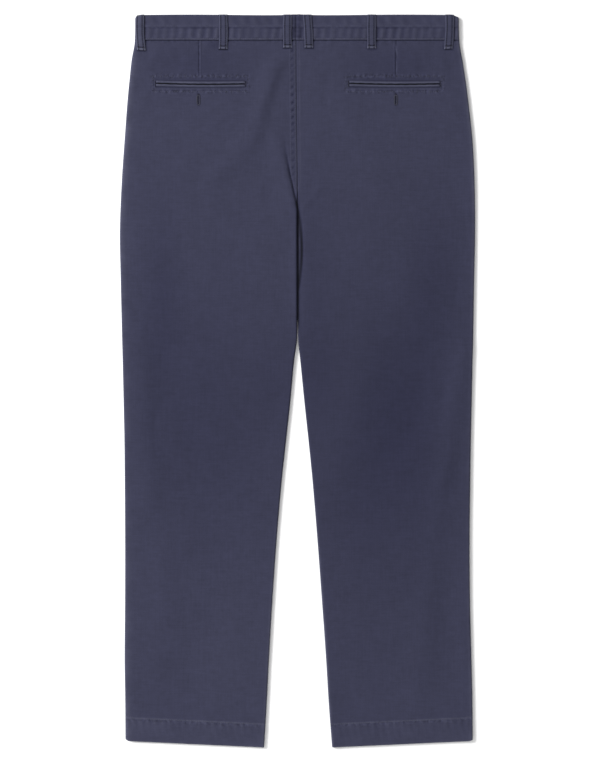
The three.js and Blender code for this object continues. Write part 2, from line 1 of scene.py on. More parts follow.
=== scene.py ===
import math
import bpy
import numpy as np
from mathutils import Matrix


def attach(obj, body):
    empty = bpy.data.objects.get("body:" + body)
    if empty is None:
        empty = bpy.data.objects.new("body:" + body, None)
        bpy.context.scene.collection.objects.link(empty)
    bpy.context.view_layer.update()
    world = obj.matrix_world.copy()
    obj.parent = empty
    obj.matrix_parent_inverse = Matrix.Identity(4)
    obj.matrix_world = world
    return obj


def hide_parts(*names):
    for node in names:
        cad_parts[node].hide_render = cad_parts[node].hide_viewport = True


# Navy chino trousers laid flat on their front. Sizes below are millimetres: x runs across the waist from
# the centre back seam, "down" is the distance below the waist's top edge, and z is the height off the table.
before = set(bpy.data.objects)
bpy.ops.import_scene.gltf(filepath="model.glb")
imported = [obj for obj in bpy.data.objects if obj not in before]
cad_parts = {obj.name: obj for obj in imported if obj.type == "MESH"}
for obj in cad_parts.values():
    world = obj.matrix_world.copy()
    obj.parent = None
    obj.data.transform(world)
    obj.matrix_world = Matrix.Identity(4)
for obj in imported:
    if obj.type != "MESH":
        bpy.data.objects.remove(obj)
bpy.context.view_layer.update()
MM = 0.001

# The table: a plain white sheet a hair under the garment, with the camera straight above it. A broad lamp
# lights it from the left, a weak one from beyond the hems, and a pale room fills the rest.
WAIST_Y = 547.0
PHOTO_PIXELS = (600, 765)
MM_PER_PIXEL = 1.49
CENTRE_PIXEL = (297.5, 380.8)
CAMERA_HEIGHT = 3300.0
CLOTH_HEIGHT = 4.0
TABLE_HALF = 6.0
TABLE_LOW = -0.0006
TABLE_WHITE = 0.93
ROOM_STRENGTH = 0.56


def shown(name, data):
    """A new object in the scene, made of a mesh, a camera or a lamp."""
    made = bpy.data.objects.new(name, data)
    bpy.context.scene.collection.objects.link(made)
    return made


def new_material(name, roughness, specular, sheen=0.0):
    """A material with its uniform values set, returned with its node tree and shader."""
    material = bpy.data.materials.new(name)
    material.use_nodes = True
    shader = material.node_tree.nodes["Principled BSDF"]
    shader.inputs["Roughness"].default_value = roughness
    shader.inputs["Specular IOR Level"].default_value = specular
    shader.inputs["Sheen Weight"].default_value = sheen
    return material, material.node_tree, shader


def studio_light(name, place, aim, size, watts):
    lamp = bpy.data.lights.new(name, "AREA")
    lamp.shape = "DISK"
    lamp.size = size
    lamp.energy = watts
    holder = shown(name, lamp)
    holder.location = place
    towards = [b - a for a, b in zip(place, aim)]
    pitch = math.atan2(-towards[2], math.hypot(towards[0], towards[1])) - math.pi / 2
    holder.rotation_euler = (0, pitch, math.atan2(towards[1], towards[0]))


table_mesh = bpy.data.meshes.new("table")
table_corners = [(x * TABLE_HALF, y * TABLE_HALF, TABLE_LOW) for x, y in ((-1, -1), (1, -1), (1, 1), (-1, 1))]
table_mesh.from_pydata(table_corners, [], [(0, 1, 2, 3)])
table_paint, _, table_shader = new_material("white_table", roughness=0.9, specular=0.1)
table_shader.inputs["Base Color"].default_value = (TABLE_WHITE, TABLE_WHITE, TABLE_WHITE, 1)
table_mesh.materials.append(table_paint)
shown("table", table_mesh)

camera = shown("camera", bpy.data.cameras.new("camera"))
bpy.context.scene.camera = camera
camera.data.lens = camera.data.sensor_width / 2 * CAMERA_HEIGHT / (PHOTO_PIXELS[1] / 2 * MM_PER_PIXEL)
camera.location = (
    (PHOTO_PIXELS[0] / 2 - CENTRE_PIXEL[0]) * MM_PER_PIXEL * MM,
    (CENTRE_PIXEL[1] - PHOTO_PIXELS[1] / 2) * MM_PER_PIXEL * MM,
    (CAMERA_HEIGHT + CLOTH_HEIGHT) * MM,
)
studio_light("key_light", (-3.6, 1.5, 2.6), (0, 0, 0), 2.2, 330)
studio_light("low_light", (-0.9, -3.4, 2.2), (0, -0.3, 0), 1.6, 40)
room = bpy.data.worlds.new("pale_room")
room.use_nodes = True
room.node_tree.nodes["Background"].inputs["Color"].default_value = (1, 1, 1, 1)
room.node_tree.nodes["Background"].inputs["Strength"].default_value = ROOM_STRENGTH
bpy.context.scene.world = room
bpy.context.scene.view_settings.view_transform = "Standard"

# Front panels: two legs of cotton twill cut from the roll, face down on the table. Each is cut away on a
# slant at its upper outer corner for the side pocket, and its hem is turned up and stitched.
PLY = 0.9
SEAM_GAP = 0.3
LIP = 8.0
SHARP_DEGREES = 52
BAND_DEPTH = 39.5
LEG_PARTING = 486.0
FRONT_PARTING = (LEG_PARTING - 24, LEG_PARTING - 10)
HEM_DOWN = 1088.6
HEM_STITCH_DOWN = 1054.0
HEM_STITCH_EASE = 1.0
HEM_EXTRA_PLY = 0.6
HEM_TILT = 4.8
HEM_TILT_START = 900.0
HEM_CORNER = {"left": 2.4, "right": 1.3}
HEM_CORNER_DOWN = 10.0
HEM_CORNER_OUT = 3.5
FRONT_HEM_SHORT = 2.0
FRONT_HEM_STITCH = (60, 246)
FLY_REACH = 12.0
FLY_END = (225, 150)
FLY_STITCH_OUT = 24.0
FLY_STITCH_TURN = (165, 42, 22)
FRONT_SEAM_LAP = 0.02
SIDE_POCKET_TOP = 196.0
SIDE_POCKET_BOTTOM = 205.0
FRONT_LOOP_X = 122.0
LOOP_WIDTH = 13.0
LOOP_ROOM = 1.6
LOOP_DENT = 1.45
OUTLINE_COLUMNS = ("down", "left_out", "left_in", "right_in", "right_out")
OUTLINE_ROWS = np.array([
    (0, 242.0, 2.05, -1.9, 240.4), (42, 242.7, 2.05, -1.9, 241.4), (69, 247.3, 2.05, -1.9, 245.9),
    (99, 250.5, 1.85, -1.7, 250.6), (129, 253.4, 1.55, -1.4, 254.5), (188, 257.8, 0.95, -0.8, 260.8),
    (248, 261.9, 0.4, 0.0, 263.9), (322, 264.8, 0.4, 0.5, 264.8), (397, 263.6, 0.3, 0.5, 263.3),
    (486, 261.5, 0.9, 1.1, 261.8), (516, 260.7, 5.0, 4.1, 261.0), (576, 259.3, 10.5, 10.0, 259.7),
    (635, 258.1, 16.9, 16.3, 258.4), (695, 257.5, 23.4, 22.3, 257.5), (784, 257.0, 31.1, 29.7, 256.5),
    (874, 257.1, 37.4, 36.4, 257.1), (963, 257.7, 42.7, 42.8, 259.2), (1023, 256.9, 45.9, 46.6, 260.6),
    (1094, 256.4, 50.2, 52.0, 261.2),
])
SIDES = {"left": -1, "right": 1}


def step(start, end, at):
    """Eases from 0 at the start to 1 at the end; the start may be the greater of the two."""
    t = np.clip((at - start) / (end - start), 0, 1)
    return t * t * (3 - 2 * t)


def hill(value, centre, width):
    """A soft hill, 1 at its centre."""
    return np.exp(-(((value - centre) / width) ** 2))


def outline(column, down):
    """A column of the outline at any level, on a smooth curve through its rows."""
    levels = OUTLINE_ROWS[:, 0]
    values = OUTLINE_ROWS[:, OUTLINE_COLUMNS.index(column)]
    last = len(levels) - 1
    i = np.clip(np.searchsorted(levels, down) - 1, 0, last - 1)
    before, after = np.maximum(i - 1, 0), np.minimum(i + 2, last)
    span = levels[i + 1] - levels[i]
    t = np.clip((down - levels[i]) / span, 0, 1)
    m1 = (values[i + 1] - values[before]) / (levels[i + 1] - levels[before]) * span
    m2 = (values[after] - values[i]) / (levels[after] - levels[i]) * span
    return (
        values[i] * (2 * t**3 - 3 * t**2 + 1) + m1 * (t**3 - 2 * t**2 + t)
        + values[i + 1] * (3 * t**2 - 2 * t**3) + m2 * (t**3 - t**2)
    )


def tilted(side, out, down):
    """The hem runs slightly askew: lower at the inner leg, higher at the outer one, with a rounded corner."""
    low, high = outline(side + "_in", HEM_DOWN), outline(side + "_out", HEM_DOWN)
    corner = HEM_CORNER[side] * step(HEM_DOWN - HEM_CORNER_DOWN, HEM_DOWN, down) * hill(out, high, HEM_CORNER_OUT)
    askew = HEM_TILT * ((low + high) / 2 - out) / ((high - low) / 2)
    return down + askew * step(HEM_TILT_START, HEM_STITCH_DOWN, down) - corner


def spaced(*stretches):
    """Levels in order, one below the other, each stretch given as (start, end, spacing)."""
    levels = [np.linspace(a, b, max(2, round((b - a) / gap) + 1))[:-1] for a, b, gap in stretches]
    return np.concatenate(levels + [[stretches[-1][1]]])[:, None]


def points(x, down, z):
    """Points in millimetres; x, the level below the waist and the height are numbers or arrays."""
    return np.stack(np.broadcast_arrays(x, WAIST_Y - down, z), -1)


def cloth_wall(name, outer, inner, wear_and_highlight=0.0, dip=0.0, gather=0.0):
    """A thin closed shell of cloth between two sheets of points, both (rows, columns, xyz)."""
    rows, columns = outer.shape[:2]
    corners = np.concatenate([outer.reshape(-1, 3), inner.reshape(-1, 3)]) * MM
    face = np.arange(rows * columns).reshape(rows, columns)
    back = face + rows * columns
    quads = np.concatenate([
        np.stack(ring, -1).reshape(-1, 4) for ring in (
            (face[:-1, :-1], face[1:, :-1], face[1:, 1:], face[:-1, 1:]),
            (back[:-1, :-1], back[:-1, 1:], back[1:, 1:], back[1:, :-1]),
            (face[:-1, 0], back[:-1, 0], back[1:, 0], face[1:, 0]),
            (face[:-1, -1], face[1:, -1], back[1:, -1], back[:-1, -1]),
            (face[0, :-1], face[0, 1:], back[0, 1:], back[0, :-1]),
            (face[-1, :-1], back[-1, :-1], back[-1, 1:], face[-1, 1:]),
        )
    ])
    a, b, c, d = (corners[quads[:, k]] for k in range(4))
    if np.sum(a * np.cross(b, c)) + np.sum(a * np.cross(c, d)) < 0:
        quads = quads[:, ::-1]
    mesh = bpy.data.meshes.new(name)
    mesh.from_pydata(corners.tolist(), [], quads.tolist())
    mesh.shade_smooth()
    mesh.set_sharp_from_angle(angle=math.radians(SHARP_DEGREES))
    for mark, values in (("wear_and_highlight", wear_and_highlight), ("dip", dip), ("gather", gather)):
        spread = np.zeros(len(corners), dtype=np.float32)
        spread[: rows * columns] = np.broadcast_to(values, (rows, columns)).ravel()
        mesh.attributes.new(mark, "FLOAT", "POINT").data.foreach_set("value", spread)
    return shown(name, mesh)


def dress(piece, paint, node=None):
    """Gives a piece its material and body, and hides the solid that it stands for."""
    piece.data.materials.append(paint)
    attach(piece, "root")
    if node:
        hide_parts(node)


def add_node(tree, kind, sockets=(), **settings):
    """A shader node with its settings made and its sockets linked or set."""
    made = tree.nodes.new("ShaderNode" + kind)
    for key, value in settings.items():
        setattr(made, key, value)
    for key, value in dict(sockets).items():
        if isinstance(value, bpy.types.NodeSocket):
            tree.links.new(value, made.inputs[key])
        else:
            made.inputs[key].default_value = value
    return made


def cloth_material(name, colour, wear_and_highlight_colour, grain=1.0):
    """Garment-dyed twill: diagonal ribs, slubs along the weft, uneven dye, paler edges and crests from wear and
    painted highlight, and painted shade.
    """
    material, tree, shader = new_material(name, roughness=0.86, specular=0.15, sheen=0.12)
    shader.inputs["Sheen Roughness"].default_value = 0.45
    shader.inputs["Sheen Tint"].default_value = (0.78, 0.82, 1.0, 1)
    where = add_node(tree, "TexCoord").outputs["Object"]

    def maths(operation, *values, clamp=False):
        return add_node(tree, "Math", enumerate(values), operation=operation, use_clamp=clamp).outputs[0]

    def vector(operation, *values):
        return add_node(tree, "VectorMath", enumerate(values), operation=operation).outputs[0]

    def noise(stretch, detail):
        scaled = vector("MULTIPLY", where, stretch)
        return add_node(
            tree, "TexNoise", {"Vector": scaled, "Scale": 1.0, "Detail": detail, "Roughness": 0.6},
        ).outputs[0]

    def centred(value):
        return maths("SUBTRACT", value, 0.5)

    def weigh(value, amount, onto):
        return maths("MULTIPLY_ADD", centred(value), amount, onto)

    def mark(name):
        return add_node(tree, "Attribute", attribute_name=name).outputs["Fac"]

    slub, warp = noise((40, 520, 200), 2.0), noise((480, 26, 200), 1.0)
    speck, cloud = noise((980, 980, 980), 1.0), noise((7.5, 5.5, 7.5), 3.0)
    patch, blotch = noise((38, 38, 38), 2.0), noise((120, 150, 120), 2.0)
    draw = noise((260, 200, 260), 1.0)
    # the ribs wander with a slow noise, so that they make no regular rings in a small picture
    slant = add_node(tree, "VectorMath", {0: where, 1: (5200, 7400, 4000)}, operation="DOT_PRODUCT")
    ribs = maths("SINE", maths("MULTIPLY_ADD", draw, 16.0, slant.outputs["Value"]))
    drawn_in = maths("MULTIPLY", centred(draw), mark("gather"))
    layers = (
        (slub, 0.27 * grain), (warp, 0.18 * grain), (speck, 0.24 * grain), (cloud, 0.16), (patch, 0.12),
        (blotch, 0.26),
    )
    value = 1.0
    for layer, share in layers:
        value = weigh(layer, share, value)
    value = weigh(ribs, 0.06, maths("MULTIPLY_ADD", drawn_in, 1.5, value))
    # paler where marked: partly wear, partly painted highlight on edges and crests
    rub_and_highlight = maths("MULTIPLY", mark("wear_and_highlight"), weigh(patch, 1.6, 0.8), clamp=True)
    tone = add_node(tree, "Mix", {0: rub_and_highlight, 6: (*colour, 1), 7: (*wear_and_highlight_colour, 1)}, data_type="RGBA").outputs[2]
    grained = add_node(tree, "HueSaturation", {"Color": tone, "Value": value}).outputs[0]
    # creases and shadows: darker with their depth, and less blue in the deepest
    dip = mark("dip")
    deeper = vector("MULTIPLY_ADD", dip, (-0.64, -0.63, -0.46), (1, 1, 1))
    greyer = vector("MULTIPLY_ADD", maths("SUBTRACT", dip, 0.6, clamp=True), (0.0, -0.02, -0.30), deeper)
    shade = vector("MAXIMUM", greyer, (0.08, 0.08, 0.08))
    tree.links.new(vector("MULTIPLY", grained, shade), shader.inputs["Base Color"])
    height = weigh(speck, 0.6, weigh(slub, 0.9, weigh(ribs, 0.55, 0.5)))
    height = maths("MULTIPLY_ADD", drawn_in, 5.0, height)
    bump = add_node(tree, "Bump", {"Height": height, "Strength": 0.55, "Distance": 0.00022})
    tree.links.new(bump.outputs[0], shader.inputs["Normal"])
    return material


def trim_material(name, colour, roughness, specular, sheen, noise, ramp, bump=None):
    """A trim with a fine grain in its dye, given as the noise's sockets and ramp steps (position, factor)."""
    material, tree, shader = new_material(name, roughness, specular, sheen)
    where = add_node(tree, "TexCoord").outputs["Object"]
    grain = add_node(tree, "TexNoise", {"Vector": where, **noise}).outputs[0]
    shades = add_node(tree, "ValToRGB", {0: grain})
    for element, (position, factor) in zip(shades.color_ramp.elements, ramp):
        element.position = position
        element.color = (*[factor * c for c in colour], 1)
    tree.links.new(shades.outputs[0], shader.inputs["Base Color"])
    if bump:
        relief = add_node(tree, "Bump", {"Height": grain, "Distance": bump})
        tree.links.new(relief.outputs[0], shader.inputs["Normal"])
    return material


def thread_material(name, colour):
    """Polyester-cotton sewing thread, twisted and dyed with the cloth."""
    return trim_material(
        name, colour, roughness=0.7, specular=0.2, sheen=0.1, noise={"Scale": 900}, ramp=((0, 0.72), (1, 1.3)),
        bump=0.0001,
    )


def plain_material(name, colour, roughness):
    """A moulded or woven trim in one dye."""
    return trim_material(
        name, colour, roughness, specular=0.5, sheen=0.0, noise={"Scale": 420, "Detail": 4},
        ramp=((0.3, 0.7), (0.7, 1.35)),
    )


TWILL = cloth_material("navy_twill", (0.0308, 0.0318, 0.0600), (0.074, 0.076, 0.116))
THREAD = thread_material("navy_thread", (0.046, 0.048, 0.076))
STITCH = (3.0, 2.5, 0.62)
FRONT_STITCH_Z = -0.05


def thread_mesh(name, runs, paint, node=None):
    """Stitches as small rounded dashes. Each run is a line of points sewn at (pitch, length, width)."""
    around, along = 8, 5
    turn = np.linspace(0, 2 * np.pi, around, endpoint=False)
    reach = np.linspace(-1, 1, along)
    swell = np.sqrt(np.clip(1 - np.abs(reach) ** 3, 0.02, 1))[:, None]
    across, up = (swell * np.cos(turn)).ravel(), (swell * np.sin(turn)).ravel()
    dash = np.stack([np.repeat(reach, around), across, up], -1)
    ring, following = np.arange(around), (np.arange(around) + 1) % around
    quads = np.concatenate([
        np.stack([ring, following, following + around, ring + around], -1) + k * around for k in range(along - 1)
    ])
    caps = [list(ring[::-1]), list(ring + (along - 1) * around)]
    corners, polygons, count = [], [], 0
    for line, pitch, length, width in runs:
        travel = np.concatenate([[0], np.cumsum(np.linalg.norm(np.diff(line, axis=0), axis=1))])
        places = np.arange(pitch / 2, travel[-1], pitch)
        behind, centre, ahead = (
            np.stack([np.interp(places + shift, travel, line[:, k]) for k in range(3)], -1)
            for shift in (-pitch / 4, 0, pitch / 4)
        )
        tangent = (ahead - behind) / np.linalg.norm(ahead - behind, axis=1)[:, None]
        sideways = np.stack([-tangent[:, 1], tangent[:, 0], np.zeros(len(tangent))], -1)
        upwards = np.cross(tangent, sideways)
        local = dash * (length / 2, width / 2, width * 0.42)
        for p, t, s, u in zip(centre, tangent, sideways, upwards):
            corners.append(p + local[:, :1] * t + local[:, 1:2] * s + local[:, 2:] * u)
            polygons.extend((quads + count).tolist())
            polygons.extend([[v + count for v in cap] for cap in caps])
            count += len(dash)
    mesh = bpy.data.meshes.new(name)
    mesh.from_pydata((np.concatenate(corners) * MM).tolist(), [], polygons)
    mesh.shade_smooth()
    dress(shown(name, mesh), paint, node)


def fly_edge(side, down):
    """The front panels meet off centre at the fly, and on the centre line below it."""
    reach = FLY_REACH * step(*FLY_END, down)
    return (-reach if side == "left" else reach) - FRONT_SEAM_LAP


def front_inner(side, down):
    beside_lip = outline(side + "_in", down) + LIP + SEAM_GAP
    centre = fly_edge(side, down)
    return centre + (beside_lip - centre) * step(*FRONT_PARTING, down)


def front_outer(side, down):
    edge = outline(side + "_out", down) - LIP - SEAM_GAP
    at_mouth = outline(side + "_out", SIDE_POCKET_BOTTOM) - LIP - SEAM_GAP
    share = (down - BAND_DEPTH) / (SIDE_POCKET_BOTTOM - BAND_DEPTH)
    return np.where(share < 1, SIDE_POCKET_TOP + (at_mouth - SIDE_POCKET_TOP) * share, edge)


def front_loop_dent(x, down):
    """The front belt loops lie pressed into the cloth, so the cloth rises over them."""
    beside = step(LOOP_WIDTH / 2 + LOOP_ROOM, LOOP_WIDTH / 2 + 0.3, np.abs(np.abs(x) - FRONT_LOOP_X))
    return LOOP_DENT * beside * step(54, 51.6, down)


def at_hem(down):
    return step(HEM_STITCH_DOWN - HEM_STITCH_EASE, HEM_STITCH_DOWN + HEM_STITCH_EASE, down)


for side, sign in SIDES.items():
    down = spaced((BAND_DEPTH + SEAM_GAP, 60, 1.6), (60, 1040, 9), (1040, HEM_DOWN - FRONT_HEM_SHORT, 2))
    share = np.linspace(0, 1, 90)[None, :]
    seam = front_inner(side, down)
    out = seam + (front_outer(side, down) - seam) * share
    level = tilted(side, out, down)
    seam_ditch = 0.45 * hill(out, seam, 0.7) * step(FRONT_PARTING[0], 455, down)
    rise = front_loop_dent(sign * out, level)
    # the panel's outer edge is paler: wear with painted highlight
    panel = cloth_wall(
        "front_panel_" + side, points(sign * out, level, rise + seam_ditch),
        points(sign * out, level, rise + PLY + HEM_EXTRA_PLY * at_hem(down)), wear_and_highlight=0.5 * hill(share, 1, 1 / 60),
    )
    dress(panel, TWILL, "front_" + side)
    hem_out = np.linspace(*FRONT_HEM_STITCH, 60)
    runs = [(points(sign * hem_out, tilted(side, hem_out, HEM_STITCH_DOWN), FRONT_STITCH_Z), *STITCH)]
    mouth = np.linspace(BAND_DEPTH + 3, SIDE_POCKET_BOTTOM - 4, 40)
    for inset in (2.0, 8.0):
        runs.append((points(sign * (front_outer(side, mouth) - inset), mouth, FRONT_STITCH_Z), *STITCH))
    if side == "left":
        turn_down, turn_depth, turn_reach = FLY_STITCH_TURN
        turn = np.linspace(0, math.pi / 2, 20)
        fly_x = np.concatenate([np.zeros(40), turn_reach * (1 - np.cos(turn))]) - FLY_STITCH_OUT
        fly_down = np.concatenate([
            np.linspace(BAND_DEPTH + 3, turn_down, 40), turn_down + turn_depth * np.sin(turn),
        ])
        runs.append((points(fly_x, fly_down, FRONT_STITCH_Z), *STITCH))
    thread_mesh("front_stitching_" + side, runs, THREAD)

# Side pockets: the piece of the hip that shows behind each slanted pocket mouth, a narrow wedge of the same
# twill set in from the waistband to the side seam.
for side, sign in SIDES.items():
    down = spaced((BAND_DEPTH + SEAM_GAP, SIDE_POCKET_BOTTOM - 1, 5))
    near = front_outer(side, down) + 2 * SEAM_GAP
    far = np.maximum(outline(side + "_out", down) - LIP - SEAM_GAP, near + 0.25)
    x = sign * (near + (far - near) * np.linspace(0, 1, 16)[None, :])
    wedge = cloth_wall("hip_piece_" + side, points(x, down, 0), points(x, down, PLY))
    dress(wedge, TWILL, "side_pocket_" + side)

# Zip: two woven tapes with a moulded chain closed between them, sewn behind the fly's left edge. It is
# hidden between the front and the back.
ZIP_X = (-34.0, -12.0)
ZIP_DOWN = (42.0, 205.0)
ZIP_LOW = 1.5
ZIP_TAPE_PLY = 0.5
TOOTH_PITCH = 1.6
CHAIN_HALF = 2.2
CHAIN_PROUD = 0.3
TOOTH_PROUD = 0.15
ZIP_TAPE = plain_material("zip_tape", (0.022, 0.023, 0.036), 0.7)
down = spaced((*ZIP_DOWN, TOOTH_PITCH))
x = np.linspace(*ZIP_X, 23)[None, :]
teeth = np.exp(-(((x - sum(ZIP_X) / 2) / CHAIN_HALF) ** 4)) * (
    CHAIN_PROUD + TOOTH_PROUD * np.sign(np.sin(down * math.pi / TOOTH_PITCH))
)
zip_tape = cloth_wall("zip", points(x, down, ZIP_LOW + ZIP_TAPE_PLY + teeth), points(x, down, ZIP_LOW))
dress(zip_tape, ZIP_TAPE, "fly_zip")

# Back panels: two wider legs of the same twill, turned over both edges of each leg to seams that lie
# underneath. A dart shapes the seat, the centre seam is felled to the left, and the cloth has settled into
# soft troughs and ridges, a pull across the left seat and a fold where the left leg overlaps the fork.
LEG_TOP = 4.3
EDGE_ROLL = 0.6
EDGE_ROLL_REACH = 16.0
# edges paler from wear and painted highlight: amount and reach for each side
EDGE_RUB_AND_HIGHLIGHT = {"left": (0.60, 6.5), "right": (0.80, 3.7)}
FOLD_RADIUS = 2.6
SEAM_RADIUS = 0.4
NEAR_SEAM = 40.0
SEAT_SEAM_END = 250.0
FELL_WIDTH = 9.5
FELL_PROUD = 0.4
FELL_MIDDLE = 5.4
FELL_ROWS = (2.0, 9.0)
FELL_SEWN_END = 262.0
FELL_STITCH = (3.4, 2.4, 0.45)
HEM_PROUD = 0.35
DART_OUT = 146.4
DART_END = 97.5
POCKET_OUT = 144.5
POCKET_SLIT_DOWN = 104.7
POCKET_LENGTH = {"left": 132.2, "right": 134.6}
FRAME_DOWN = (POCKET_SLIT_DOWN - 11.6, POCKET_SLIT_DOWN + 11.3)
FRAME_PAST_END = 5.2
FRAME_STITCH = (3.6, 2.1, 0.5)
FRAME_WAVE = 9.5
SLIT_HALF, EDGE_HALF, FRAME_HALF = 63, 68, 71
WELT_SHADOW_HALF = 3.9
LIP_HEIGHT = 1.5
BUTTONHOLE_OUT = {"left": 147.6, "right": 146.5}
BUTTONHOLE_DOWN = 128.6
BACK_LOOPS = {
    "belt_loop_side_left": {"top": -234.4, "bottom": -232.5, "end": 54.6, "bow": -1.2},
    "belt_loop_back_left": {"top": -110.7, "bottom": -110.7, "end": 52.7, "bow": 0.4},
    "belt_loop_centre_left": {"top": -14.6, "bottom": -14.6, "end": 50.8, "bow": -0.5},
    "belt_loop_centre_right": {"top": 14.4, "bottom": 17.0, "end": 50.8, "bow": 0.5},
    "belt_loop_back_right": {"top": 110.6, "bottom": 110.6, "end": 51.9, "bow": -0.4},
    "belt_loop_side_right": {"top": 226.6, "bottom": 224.8, "end": 52.6, "bow": 0.8},
}
# each fold runs between two points: x, down, x, down, height, reach
FOLDS = [
    (-220, 322, -193, 605, -1.1, 48), (-186, 625, -112, 792, -1.1, 44), (-120, 880, -160, 1010, -0.5, 30),
    (-232, 470, -222, 725, 0.8, 20), (-196, 800, -205, 960, 0.7, 24), (205, 322, 153, 576, -1.3, 50),
    (148, 590, 78, 740, -1.2, 42), (247, 501, 217, 695, 0.9, 15), (215, 705, 175, 1022, 0.45, 16),
    (225, 850, 222, 1000, -0.7, 20), (-36, 80, -62, 178, 1.2, 15), (-74, 193, -118, 236, 0.8, 18),
    (-122, 238, -165, 226, 0.45, 16), (-168, 224, -216, 178, 0.35, 16), (70, 130, 120, 250, 0.6, 30),
    (-34, 180, -16, 300, 0.6, 14),
]
FINE_FOLDS = [
    (-22, 84, -40, 146, -0.40, 8), (-41, 150, -50, 190, -0.22, 9), (-20, 70, -52, 132, 0.22, 6),
    (-60, 150, -92, 196, 0.2, 7), (-96, 140, -128, 172, 0.18, 7), (-26, 210, -60, 268, 0.2, 8),
    (24, 86, 52, 128, 0.2, 7), (212, 54, 222, 92, 0.35, 6), (-186, 44, -176, 66, -0.25, 6),
    (84, 48, 104, 82, 0.22, 7), (176, 50, 190, 84, -0.22, 7), (226, 112, 236, 150, 0.25, 7),
    (-226, 118, -238, 160, 0.25, 7), (8, 292, 31, 262, 0.45, 6), (43, 99, 43, 132, -0.3, 7),
    (-206, 48, -222, 80, 0.4, 6.5), (60, 60, 74, 84, 0.25, 8),
]
FOLD_GAIN, FINE_GAIN = 1.9, 1.5
# painted shade patches, standing in for soft shading over the pocket bags and round the knees, and one painted
# highlight: x, down, reach x, reach down, amount
PAINTED_SHADE_PATCHES = [
    (-148, 76, 80, 32, 0.32), (148, 76, 80, 32, 0.30), (-205, 415, 30, 120, 0.25), (-150, 570, 100, 180, 0.38),
    (-90, 700, 90, 110, 0.10), (205, 400, 50, 130, 0.34), (150, 590, 80, 150, 0.56), (90, 730, 60, 110, 0.24),
    (190, 760, 60, 150, 0.16), (100, 900, 80, 160, 0.08), (30, 500, 40, 120, 0.20), (70, 380, 70, 150, 0.10),
    (-126, 46, 7, 6, 0.35), (14, 340, 24, 90, 0.12), (-32, 550, 45, 90, 0.20), (32, 560, 30, 80, 0.10),
    (-80, 970, 70, 110, -0.12),
]
FORK_FOLD_DOWN = (150, 180, 206, 222, 237, 251, 265, 277, 290)
FORK_FOLD_X = (-21.6, -20.0, -17.3, -14.6, -11.8, -8.8, -5.7, -3.0, -1.0)
FORK_START, FORK_END = (256, 304), (490, 440)
FORK_SHADE_START, FORK_SHADE_END = (254, 296), (492, 455)
DITCH_DOWN = (290, 412)


def fold_heights(folds, x, down):
    total = 0.0
    for x1, down1, x2, down2, height, reach in folds:
        dx, dd = x2 - x1, down2 - down1
        t = np.clip(((x - x1) * dx + (down - down1) * dd) / (dx * dx + dd * dd), 0, 1)
        total = total + height * hill(np.hypot(x - x1 - t * dx, down - down1 - t * dd), 0, reach)
    return total


def pucker(along, period, seed):
    """Uneven little waves that a tight stitch line draws into the cloth."""
    drift = 0.55 * np.sin(along / period * 0.83 + seed) + 0.4 * np.sin(along / period * 0.37 + 2.1 * seed)
    strength = 0.72 + 0.28 * np.sin(along / period * 0.59 + 1.7 * seed)
    return strength * np.sin(2 * np.pi * along / period + drift + seed)


def hem_waves(x, down):
    return pucker(x - 0.35 * (down - HEM_STITCH_DOWN), 10.8, 0.6)


def fell_waves(x, down):
    return pucker(down + 0.5 * x, 10.9, 0.2)


def fork_fold_line(down):
    return np.interp(down, FORK_FOLD_DOWN, FORK_FOLD_X)


def fork_fold_depth(down):
    return step(165, 245, down) * step(300, 283, down)


def ditch_arc(down):
    """The ditch beside the fork on the right, as an arc from 0 to 1 and back."""
    return np.sin(np.pi * np.clip((down - DITCH_DOWN[0]) / (DITCH_DOWN[1] - DITCH_DOWN[0]), 0, 1))


def ditch_line(down):
    return 2.0 + 4.4 * ditch_arc(down)


